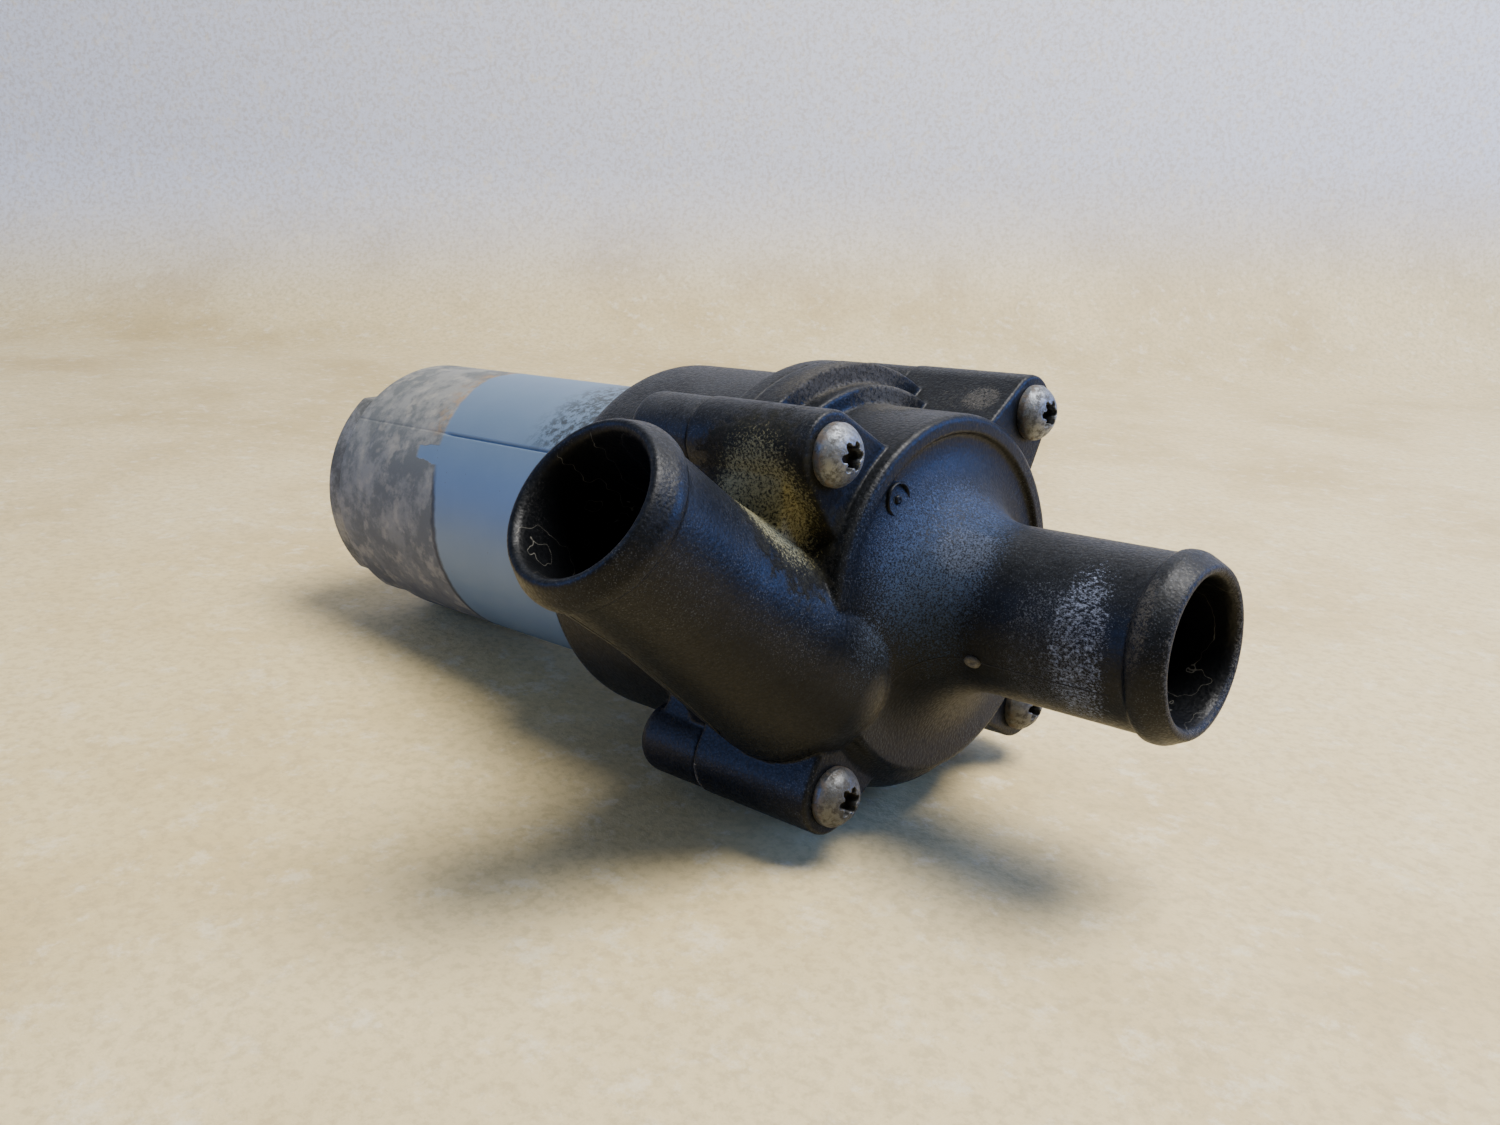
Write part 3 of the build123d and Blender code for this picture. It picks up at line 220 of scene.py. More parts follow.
@dataclass(frozen=True)
class MouldedNylon:
    """Glass-filled polyamide, injection moulded against a spark-eroded steel mould."""

    # To the eye: near-black with a cool cast and a satin gloss that fine grain breaks up. Grey dust lies on
    # what faces up, dried salt stands in the grain, and years of soil have settled in corners.
    name: str
    base: str = "#030508"
    worn: str = "#0d1118"
    dust: str = "#4a4b4c"
    salt: str = "#6a7078"
    roughness: float = 0.4
    dust_level: float = 0.12
    salt_floor: float = 0.3
    stains_and_sheen: tuple[StainAndSheen, ...] = ()
    bores: tuple[tuple[Point, Point], ...] = ()
    bore_wall: tuple[float, float] = (8.5, 8.15)

    # The real grain is 0.05 to 0.1 mm. It is drawn about five times coarser, so that it shows.
    cloud_size: float = 14.0
    grain_size: float = 0.55
    grit_size: float = 0.42
    salt_size: float = 0.17
    crust_size: float = 0.9

    def bore_mask(self, graph: Graph) -> bpy.types.NodeSocket:
        """Adds the nodes that find the walls of the hose bores.

        Args:
            graph: The material's tree.

        Returns:
            1 on the bores' walls and 0 elsewhere.
        """
        total: object = 0.0
        for foot, along in self.bores:
            away = graph.add("VectorMath", graph.mm, foot, **MINUS)
            across = graph.add("VectorMath", away, along, operation="CROSS_PRODUCT")
            reach = graph.add("VectorMath", across, operation="LENGTH")
            wall = graph.add("MapRange", reach, *self.bore_wall, **SMOOTH)
            total = graph.add("Math", total, wall, use_clamp=True)
        return total

    def bore_colour(self, graph: Graph, colour: object, inside: object) -> bpy.types.NodeSocket:
        """Adds the wetted black of the bores, with a few dried hairs of lime.

        Args:
            graph: The material's tree.
            colour: The colour outside the bores.
            inside: 1 on the bores' walls.

        Returns:
            The colour with the bores' own laid over it.
        """
        add = graph.add
        swirl = {"Scale": 0.09, "Distortion": 24.0, "Detail": 4.0, "Detail_Scale": 0.7}
        wave = add("TexWave", Vector=graph.mm, out="Fac", **swirl)
        hairs = add("MapRange", wave, 0.9993, 1.0, **SMOOTH)
        streak = add("Math", hairs, add("Math", inside, 0.6, **TIMES), **TIMES)
        wet = add("Mix", add("Math", inside, 0.75, **TIMES), colour, srgb("#08090b"), **BLEND)
        return add("Mix", streak, wet, srgb("#77756d"), **BLEND)

    def build(self) -> bpy.types.Material:
        """Builds the material.

        Returns:
            The material.
        """
        graph = Graph(self.name)
        add = graph.add
        wide = add("TexNoise", Vector=graph.mm, Scale=1 / self.cloud_size, Detail=4.0, Roughness=0.6)
        fine = add("TexNoise", Vector=graph.mm, Scale=1 / self.grain_size, Detail=4.0, Roughness=0.7)
        grit = add("TexVoronoi", Vector=graph.mm, Scale=1 / self.grit_size)
        specks = add("TexNoise", Vector=graph.mm, Scale=1 / self.salt_size, Detail=2.0, Roughness=0.6)
        crust = add("TexNoise", Vector=graph.mm, Scale=1 / self.crust_size, Detail=5.0, Roughness=0.7)

        # Dust lies in patches, most of it on what faces up.
        skyward = add("MapRange", graph.up, 0.05, 0.95, **SMOOTH)
        cloudy = add("Math", wide, add("Math", fine, 0.6, **TIMES))
        patches = add("MapRange", cloudy, 0.62, 1.0, **SMOOTH)
        facing = add("Math", add("Math", skyward, 0.8, **TIMES), 0.12)
        film = add("Math", add("Math", facing, patches, **TIMES), self.dust_level, use_clamp=True, **TIMES)

        # Salt stands in the grain as pale specks.
        salt = add("MapRange", specks, 0.56, 0.68, **SMOOTH)
        spread = add("Math", add("MapRange", wide, 0.42, 0.62, **SMOOTH), self.salt_floor)
        salted = add("Math", add("Math", salt, spread, **TIMES), 0.2, **TIMES)

        worn = add("MapRange", fine, 0.35, 0.8, **SMOOTH)
        colour = add("Mix", worn, srgb(self.base), srgb(self.worn), **BLEND)
        colour = add("Mix", film, colour, srgb(self.dust), **BLEND)
        colour = add("Mix", salted, colour, srgb(self.salt), **BLEND)
        cover = film
        # Each patch goes over the colour. Among them are a painted highlight and the blue of a painted
        # reflection.
        for overlay in self.stains_and_sheen:
            amount = overlay.amount(graph)
            colour = add("Mix", amount, colour, srgb(overlay.colour), **BLEND)
            cover = add("Math", cover, amount, operation="MAXIMUM")
        inside = self.bore_mask(graph)
        colour = self.bore_colour(graph, colour, inside)

        # What lies on the surface dulls it, and the wet bores shine a little.
        rough = add("Math", self.roughness, add("Math", cover, 0.4, **TIMES))
        rough = add("Math", rough, add("Math", add("Math", grit, 0.4, **MINUS), 0.22, **TIMES))
        rough = add("Math", rough, add("Math", inside, 0.02, **TIMES), use_clamp=True, **MINUS)
        skin = add("Bump", Height=grit, Distance=0.03 * MM, Strength=1.0)
        skin = add("Bump", Height=fine, Distance=0.022 * MM, Strength=1.0, Normal=skin)
        lumps = add("Math", cover, crust, **TIMES)
        skin = add("Bump", Height=lumps, Distance=0.22 * MM, Strength=1.0, Normal=skin)
        return graph.finish(
            Base_Color=colour, Roughness=rough, IOR=1.53, Specular_IOR_Level=0.15, Normal=skin
        )


@dataclass(frozen=True)
class PassivatedTube:
    """Deep-drawn steel tube with a blue passivated zinc coat, kept clean where a rubber ring covered it."""

    # To the eye: a soft blue-grey half gloss in the middle, a ragged edge, and dull grey-brown road soil with
    # lighter flakes behind it. Black crust lies on top beside the housing.
    name: str = "passivated steel tube"
    clean: str = "#627688"
    coat_shade: str = "#6a7d8e"
    coat_pit: str = "#5c6670"
    soil: str = "#7b7a72"
    soil_shade: str = "#5a5c58"
    dark_soil: str = "#4b4c4b"
    flake: str = "#9a9484"
    rust: str = "#8a7050"
    crust: str = "#2d2f2b"
    # The dirt line at the soil's edge, with its painted shadow.
    dirt_edge_and_shadow: str = "#1c1d20"
    rear_edge: float = -77.6
    front_edge: float = -59.5

    def build(self) -> bpy.types.Material:
        """Builds the material.

        Returns:
            The material.
        """
        graph = Graph(self.name)
        add = graph.add
        mm = graph.mm
        turn = add("Math", graph.z, add("Math", graph.y, -1.0, **TIMES), operation="ARCTAN2")
        angle = add("Math", turn, 180 / math.pi, **TIMES)
        torn = add("TexNoise", Vector=mm, Scale=1 / 2.4, Detail=7.0, Roughness=0.7)
        ragged = add("Math", add("Math", torn, 0.5, **MINUS), 3.6, **TIMES)

        # The clean band's rear edge climbs with the angle and has one tab.
        wobble = add("Math", angle, add("Math", ragged, 0.9, **TIMES))
        climb = add("MapRange", angle, 12.0, 80.0, 0.0, -6.6)
        tab = add("MapRange", wobble, 26.0, 28.0, **SMOOTH)
        tab = add("Math", tab, add("MapRange", wobble, 35.0, 33.0, **SMOOTH), **TIMES)
        tab = add("Math", tab, -5.2, **TIMES)
        rear = add("Math", add("Math", climb, tab), self.rear_edge)
        past_rear = add("Math", add("Math", graph.x, add("Math", ragged, 0.35, **TIMES)), rear, **MINUS)
        clean = add("MapRange", past_rear, -0.5, 0.5, **SMOOTH)

        # Soil: two shades in clouds, darker low down, with lighter flakes and a rusty edge on top.
        clouds = add("TexNoise", Vector=mm, Scale=1 / 7, Detail=6.0, Roughness=0.62)
        crumbs = add("TexNoise", Vector=mm, Scale=1 / 1.1, Detail=4.0, Roughness=0.7)
        mottle = add("Math", clouds, add("Math", crumbs, 0.3, **TIMES))
        mottle = add("MapRange", mottle, 0.55, 0.75, **SMOOTH)
        low = add("Math", graph.z, add("Math", ragged, 2.5, **TIMES))
        low = add("Math", add("MapRange", low, 4.0, -12.0, **SMOOTH), 0.65, **TIMES)
        grime = add("Mix", mottle, srgb(self.soil), srgb(self.soil_shade), **BLEND)
        grime = add("Mix", low, grime, srgb(self.dark_soil), **BLEND)
        flakes = add("TexNoise", Vector=mm, Scale=1 / 3.0, Detail=5.0, Roughness=0.6)
        light = add("Math", add("MapRange", flakes, 0.5, 0.68, **SMOOTH), 0.5, **TIMES)
        grime = add("Mix", light, grime, srgb(self.flake), **BLEND)
        behind = add("MapRange", past_rear, -5.5, -0.6, **SMOOTH)
        rust = add("Math", behind, add("MapRange", angle, 36.0, 44.0, **SMOOTH), **TIMES)
        bloom = add("TexNoise", Vector=mm, Scale=1 / 1.6, Detail=5.0, Roughness=0.7)
        rust = add("Math", rust, add("MapRange", bloom, 0.44, 0.62, **SMOOTH), **TIMES)
        grime = add("Mix", add("Math", rust, 0.75, **TIMES), grime, srgb(self.rust), **BLEND)

        # The clean coat: two close shades and a few small pits.
        haze = add("TexNoise", Vector=mm, Scale=1 / 5, Detail=3.0, Roughness=0.55)
        haze = add("Math", add("MapRange", haze, 0.35, 0.7, **SMOOTH), 0.35, **TIMES)
        coat = add("Mix", haze, srgb(self.clean), srgb(self.coat_shade), **BLEND)
        pits = add("MapRange", add("TexVoronoi", Vector=mm, Scale=1 / 2.6), 0.06, 0.02, **SMOOTH)
        coat = add("Mix", pits, coat, srgb(self.coat_pit), **BLEND)
        colour = add("Mix", clean, grime, coat, **BLEND)

        # Black crust on top in front, and a dark line along the rear edge, low down: dirt at the edge,
        # darkened further as the painted shadow of its ridge.
        front = add("Math", graph.x, add("Math", ragged, 1.6, **TIMES))
        front = add("MapRange", add("Math", front, self.front_edge, **MINUS), -3.0, 4.0, **SMOOTH)
        top = add("MapRange", angle, 38.0, 46.0, **SMOOTH)
        top = add("Math", top, add("MapRange", angle, 120.0, 100.0, **SMOOTH), **TIMES)
        scabs = add("TexNoise", Vector=mm, Scale=1 / 1.2, Detail=8.0, Roughness=0.75)
        crust = add("Math", front, top, **TIMES)
        crust = add("Math", crust, add("MapRange", scabs, 0.45, 0.55, **SMOOTH), **TIMES)
        colour = add("Mix", add("Math", crust, 0.85, **TIMES), colour, srgb(self.crust), **BLEND)
        # Painted shadow along the soil's rear edge, low down, over the dirt line.
        line = add("MapRange", past_rear, -0.9, -0.1, **SMOOTH)
        line = add("Math", line, add("MapRange", past_rear, 0.9, 0.1, **SMOOTH), **TIMES)
        near = add("Math", add("MapRange", angle, 30.0, 14.0, **SMOOTH), 0.8, **TIMES)
        line = add("Math", line, near, **TIMES)
        colour = add("Mix", line, colour, srgb(self.dirt_edge_and_shadow), **BLEND)

        rough = add("Math", 0.82, add("Math", clean, 0.34, **TIMES), **MINUS)
        metal = add("Math", clean, 0.25, **TIMES)
        lumps = add("TexNoise", Vector=mm, Scale=1 / 0.8, Detail=6.0, Roughness=0.7)
        rise = add("Math", add("Math", 1.0, clean, **MINUS), lumps, **TIMES)
        skin = add("Bump", Height=rise, Distance=0.05 * MM, Strength=1.0)
        peel = add("TexNoise", Vector=mm, Scale=1 / 0.35, Detail=2.0, Roughness=0.5)
        skin = add("Bump", Height=peel, Distance=0.012 * MM, Strength=1.0, Normal=skin)
        return graph.finish(Base_Color=colour, Roughness=rough, Metallic=metal, IOR=1.5, Normal=skin)


@dataclass(frozen=True)
class ZincScrew:
    """Cold-headed steel screw, zinc plated, gone dull and spotted."""

    # To the eye: a blotched pale grey metal with dull highlights, brown dirt packed in its recess and round
    # its rim, and painted shade on the two lower screws.
    name: str = "weathered zinc screw"
    bright: str = "#74787c"
    dull: str = "#50504e"
    glint: str = "#a4a6a6"
    # Painted shade for the two lower screws.
    shade: str = "#3b3833"
    packed_dirt: str = "#1d1712"
    rim_dirt: str = "#4a3c2c"
    pitch: float = 19.87
    head_r: float = 3.55
    recess: tuple[float, float] = (2.1, 1.75)
    recess_depth: tuple[float, float] = (2.3, 1.6)

    def build(self) -> bpy.types.Material:
        """Builds the material.

        Returns:
            The material.
        """
        graph = Graph(self.name)
        add = graph.add
        mm = graph.mm

        # Distance from the nearest screw's axis; the four stand in a square.
        across = add("Math", add("Math", graph.y, operation="ABSOLUTE"), self.pitch, **MINUS)
        along = add("Math", add("Math", graph.z, operation="ABSOLUTE"), self.pitch, **MINUS)
        square = add("Math", add("Math", across, across, **TIMES), add("Math", along, along, **TIMES))
        reach = add("Math", square, operation="SQRT")

        blotches = add("TexNoise", Vector=mm, Scale=1 / 0.7, Detail=5.0, Roughness=0.7)
        spots = add("MapRange", blotches, 0.42, 0.62, **SMOOTH)
        colour = add("Mix", spots, srgb(self.bright), srgb(self.dull), **BLEND)
        specks = add("TexNoise", Vector=mm, Scale=1 / 0.35, Detail=3.0, Roughness=0.55)
        specks = add("Math", add("MapRange", specks, 0.58, 0.72, **SMOOTH), 0.5, **TIMES)
        colour = add("Mix", specks, colour, srgb(self.glint), **BLEND)
        pit = add("MapRange", reach, *self.recess, **SMOOTH)
        pit = add("Math", pit, add("MapRange", graph.x, *self.recess_depth, **SMOOTH), **TIMES)
        caked = add("TexNoise", Vector=mm, Scale=1 / 1.1, Detail=4.0, Roughness=0.55)
        rim = add("MapRange", reach, self.head_r - 0.5, self.head_r, **SMOOTH)
        rim = add("Math", rim, add("MapRange", caked, 0.45, 0.6, **SMOOTH), **TIMES)
        # The two lower screws are darkened: painted shade.
        low = add("Math", add("MapRange", graph.z, 2.0, -2.0, **SMOOTH), 0.55, **TIMES)
        colour = add("Mix", low, colour, srgb(self.shade), **BLEND)
        colour = add("Mix", pit, colour, srgb(self.packed_dirt), **BLEND)
        colour = add("Mix", add("Math", rim, 0.75, **TIMES), colour, srgb(self.rim_dirt), **BLEND)

        dirt = add("Math", pit, rim, operation="MAXIMUM")
        soiled = add("Math", dirt, spots, operation="MAXIMUM")
        rough = add("Math", 0.44, add("Math", soiled, 0.3, **TIMES))
        metal = add("Math", add("Math", 1.0, dirt, **MINUS), 0.8, **TIMES)
        dents = add("TexNoise", Vector=mm, Scale=1 / 0.45, Detail=5.0, Roughness=0.7)
        skin = add("Bump", Height=dents, Distance=0.07 * MM, Strength=1.0)
        return graph.finish(Base_Color=colour, Roughness=rough, Metallic=metal, Normal=skin)


@dataclass(frozen=True)
class SoiledSteel:
    """Pressed steel cap under baked-on road film."""

    # To the eye: matt grey-brown clouds with lighter scraped flakes and a rough, lumpy skin.
    name: str = "soiled pressed steel"
    film: str = "#7d7b73"
    film_shade: str = "#565650"
    flake: str = "#8d897d"

    def build(self) -> bpy.types.Material:
        """Builds the material.

        Returns:
            The material.
        """
        graph = Graph(self.name)
        add = graph.add
        clouds = add("TexNoise", Vector=graph.mm, Scale=1 / 7, Detail=6.0, Roughness=0.65)
        crumbs = add("TexNoise", Vector=graph.mm, Scale=1 / 0.9, Detail=4.0, Roughness=0.55)
        flakes = add("TexNoise", Vector=graph.mm, Scale=1 / 1.3, Detail=6.0, Roughness=0.75)
        lumps = add("TexNoise", Vector=graph.mm, Scale=1 / 0.7, Detail=6.0, Roughness=0.7)
        mottle = add("Math", clouds, add("Math", crumbs, 0.3, **TIMES))
        film = add("MapRange", mottle, 0.48, 0.78, **SMOOTH)
        colour = add("Mix", film, srgb(self.film), srgb(self.film_shade), **BLEND)
        flaked = add("MapRange", flakes, 0.62, 0.72, **SMOOTH)
        colour = add("Mix", flaked, colour, srgb(self.flake), **BLEND)
        rough = add("Math", 0.55, add("Math", film, 0.3, **TIMES))
        skin = add("Bump", Height=lumps, Distance=0.12 * MM, Strength=1.0)
        return graph.finish(Base_Color=colour, Roughness=rough, Metallic=0.35, Normal=skin)


@dataclass(frozen=True)
class Stock:
    """An inner part's material, with the grain of how it was made and a few handling marks."""

    name: str
    base: str
    second: str
    metallic: float
    roughness: float
    grain: float = 0.5
    relief: float = 0.02
    ior: float = 1.5
    stretch: Point = (1.0, 1.0, 1.0)

    def build(self) -> bpy.types.Material:
        """Builds the material.

        Returns:
            The material.
        """
        graph = Graph(self.name)
        add = graph.add
        place = graph.place(self.stretch)
        grain = add("TexNoise", Vector=place, Scale=1 / self.grain, Detail=4.0, Roughness=0.65)
        cloud = add("TexNoise", Vector=graph.mm, Scale=1 / 6, Detail=3.0, Roughness=0.55)
        shade = add("MapRange", grain, 0.35, 0.7, **SMOOTH)
        colour = add("Mix", shade, srgb(self.base), srgb(self.second), **BLEND)
        dusk = add("Mix", 0.5, srgb(self.second), (0.02, 0.02, 0.02, 1.0), **BLEND)
        marks = add("Math", add("MapRange", cloud, 0.5, 0.8, **SMOOTH), 0.35, **TIMES)
        colour = add("Mix", marks, colour, dusk, **BLEND)
        rough = add("Math", self.roughness - 0.06, add("Math", cloud, 0.14, **TIMES))
        skin = add("Bump", Height=grain, Distance=self.relief * MM, Strength=1.0)
        surface = {"Base_Color": colour, "Roughness": rough, "Normal": skin}
        return graph.finish(Metallic=self.metallic, IOR=self.ior, **surface)


class Inner(Enum):
    """The finishes of the pieces inside, by the record's material slot."""

    # Black and matt, with a faint mould skin.
    SEAL_RUBBER = Stock("peroxide-cured EPDM", "#1b1b1c", "#29292a", 0.0, 0.72, 0.6, 0.03)
    # Brown-grey, with glass fibres just under a half-gloss skin.
    CAN_POLYMER = Stock("glass-filled PPS", "#4a4339", "#5d5549", 0.0, 0.5, 0.7, 0.03)
    # Bright, with fine rings round the axis from the grinding wheel.
    GROUND_STEEL = Stock(
        "centreless-ground steel", "#b9babb", "#9b9c9e", 1.0, 0.24, 0.15, 0.004, 2.5, (9.0, 0.4, 0.4)
    )
    # Warm white and smooth, as lapping leaves it.
    CERAMIC = Stock("lapped alumina", "#e4e0d6", "#d6d1c5", 0.0, 0.3, 0.3, 0.004, 1.76)
    # Dark blue-grey metal from the heat of hardening.
    SPRING_STEEL = Stock("blued spring steel", "#7c7f84", "#5d6065", 1.0, 0.34, 0.3, 0.01)
    # Dark brown with the half gloss of a polished mould.
    IMPELLER_POLYMER = Stock("moulded brown PPS", "#2b2621", "#38322b", 0.0, 0.45, 0.6, 0.03)
    # Charcoal, dull, with fine pores.
    FERRITE = Stock("sintered ferrite", "#2c2c2e", "#3a3a3c", 0.1, 0.6, 0.35, 0.03)
    # Near-black with a soft graphite shine.
    CARBON = Stock("pressed carbon graphite", "#1c1c1e", "#2a2a2c", 0.15, 0.5, 0.3, 0.02)
    # Pale warm silver with rolling lines along the strip.
    TINNED_BRASS = Stock(
        "tin-plated brass strip", "#b8b2a2", "#9d9788", 1.0, 0.3, 0.4, 0.006, 1.5, (4.0, 1.0, 1.0)
    )
    # Even pale grey metal, slightly cloudy from the plating bath.
    PLATED_STEEL = Stock("zinc-plated steel", "#a9abac", "#86888a", 1.0, 0.38, 0.6, 0.01)
    # Brown-gold with oil-dark pores.
    SINTERED_BRONZE = Stock("oil-filled sintered bronze", "#8d6a45", "#6f5236", 0.9, 0.48, 0.3, 0.02)
    # Grey, striped across the axis by the edges of its sheets.
    LAMINATION_STEEL = Stock(
        "stacked electrical steel", "#6d6f73", "#4d4f53", 0.9, 0.45, 0.5, 0.03, 1.5, (0.6, 6.0, 6.0)
    )
    # Red-brown and glossy, ribbed along the winding.
    COPPER_WIRE = Stock(
        "enamelled copper wire", "#8f4a24", "#6d3618", 0.8, 0.32, 0.45, 0.06, 1.5, (9.0, 0.6, 0.6)
    )
    # Salmon-coloured metal with drawing lines along the bar.
    COPPER_BAR = Stock(
        "hard-drawn copper bar", "#b9754e", "#8e5637", 1.0, 0.28, 0.3, 0.006, 1.5, (6.0, 0.5, 0.5)
    )
    # Dark red-brown with a press gloss.
    PHENOLIC = Stock("compression-moulded phenolic", "#3b2519", "#4b3122", 0.0, 0.42, 0.6, 0.02)
    # Amber and glossy, like a poured drop.
    CAPACITOR_FILM = Stock("epoxy-dipped film capacitor", "#9a5c1e", "#8a5019", 0.0, 0.22, 1.2, 0.02)


# ---------------------------------------------------------------- meshes
@dataclass
class Shell:
    """Closed skins in millimetres, gathered to become one mesh."""

    points: list[np.ndarray]
    faces: list[tuple[int, ...]]

    @classmethod
    def empty(cls) -> "Shell":
        """A shell with nothing in it."""
        return cls([], [])

    def take(self, points: np.ndarray, faces: list[tuple[int, ...]]) -> None:
        """Adds a skin.

        Args:
            points: Its corners in millimetres.
            faces: Its faces, as corner numbers.
        """
        start = sum(len(p) for p in self.points)
        self.points.append(points)
        self.faces.extend(tuple(i + start for i in face) for face in faces)

    def lathe(self, outline: Outline, place: Matrix, segments: int = 256) -> None:
        """Adds a solid of revolution.

        Args:
            outline: The closed half outline as (station, radius), each point at a radius above 0.
            place: Carries local Z to the solid's axis.
            segments: Steps around.
        """
        turn = np.linspace(0, 2 * np.pi, segments, endpoint=False)
        circle = np.column_stack([np.cos(turn), np.sin(turn)])
        rows = [np.column_stack([r * circle, np.full(segments, s)]) for s, r in outline]
        spun = np.vstack(rows) @ np.array(place.to_3x3()).T + np.array(place.translation)
        count = len(outline)
        faces = []
        for i in range(count):
            k = (i + 1) % count
            for j in range(segments):
                m = (j + 1) % segments
                faces.append((i * segments + j, k * segments + j, k * segments + m, i * segments + m))
        self.take(spun, faces)

    def prism(self, outline: Outline, back: float, front: float, ease: float) -> None:
        """Adds a Y-Z outline pushed along X, its front edge eased by a chamfer.

        Args:
            outline: The closed outline as (y, z).
            back: Where the solid starts along X.
            front: Where it ends.
            ease: The chamfer's size.
        """
        flat = np.array(outline)
        middle = flat.mean(axis=0)
        reach = np.linalg.norm(flat - middle, axis=1).mean()
        nearly = middle + (flat - middle) * (1 - 0.3 * ease / reach)
        small = middle + (flat - middle) * (1 - ease / reach)
        layers = [(back, flat), (front - ease, flat), (front - 0.3 * ease, nearly), (front, small)]
        points = np.vstack([np.column_stack([np.full(len(flat), x), ring]) for x, ring in layers])
        count = len(flat)
        faces = [tuple(range(count))[::-1], tuple(range(3 * count, 4 * count))]
        for layer in range(3):
            for j in range(count):
                m = (j + 1) % count
                low, high = layer * count, (layer + 1) * count
                faces.append((low + j, low + m, high + m, high + j))
        self.take(points, faces)

    def build(self, name: str) -> bpy.types.Object:
        """The shell as an object in metres.

        Args:
            name: The object's name.

        Returns:
            The object, linked to the scene.
        """
        mesh = bpy.data.meshes.new(name)
        mesh.from_pydata((np.vstack(self.points) * MM).tolist(), [], self.faces)
        mesh.validate()
        mesh.update()
        mesh.shade_smooth()
        thing = bpy.data.objects.new(name, mesh)
        bpy.context.scene.collection.objects.link(thing)
        return thing


def arc(centre: tuple[float, float], radius: float, start: float, end: float, steps: int = 14) -> Outline:
    """Points on an arc in a half outline, its angles in degrees from the axis direction towards the outside.

    Args:
        centre: The arc's centre as (station, radius).
        radius: The arc's radius.
        start: The first point's angle.
        end: The last point's angle.
        steps: How many points.

    Returns:
        The points.
    """
    turn = np.radians(np.linspace(start, end, steps))
    return [(centre[0] + radius * math.cos(t), centre[1] + radius * math.sin(t)) for t in turn]


def soften(piece: bpy.types.Object, voxel: float, passes: int) -> None:
    """Melts a piece's skins into one and rounds its edges like a moulding.

    Args:
        piece: The piece.
        voxel: The finest feature kept, in millimetres.
        passes: How often the skin is smoothed.
    """
    melt = piece.modifiers.new("melt", "REMESH")
    melt.mode = "VOXEL"
    melt.voxel_size = voxel * MM
    melt.use_smooth_shade = True
    ease = piece.modifiers.new("ease", "SMOOTH")
    ease.factor = 0.5
    ease.iterations = passes


def dress(piece: bpy.types.Object, material: bpy.types.Material) -> None:
    """Gives a piece its one material."""
    piece.data.materials.clear()
    piece.data.materials.append(material)


def mount(piece: bpy.types.Object, node: str = "") -> None:
    """Fixes a piece to the pump's standing body.

    Args:
        piece: The piece.
        node: The CAD node that it stands for, if any.
    """
    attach(piece, "stator")
    if node:
        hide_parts(node)


def report(piece: bpy.types.Object) -> None:
    """Logs a piece's name and face count."""
    LOG.info("%s: %d faces", piece.name, len(piece.data.polygons))


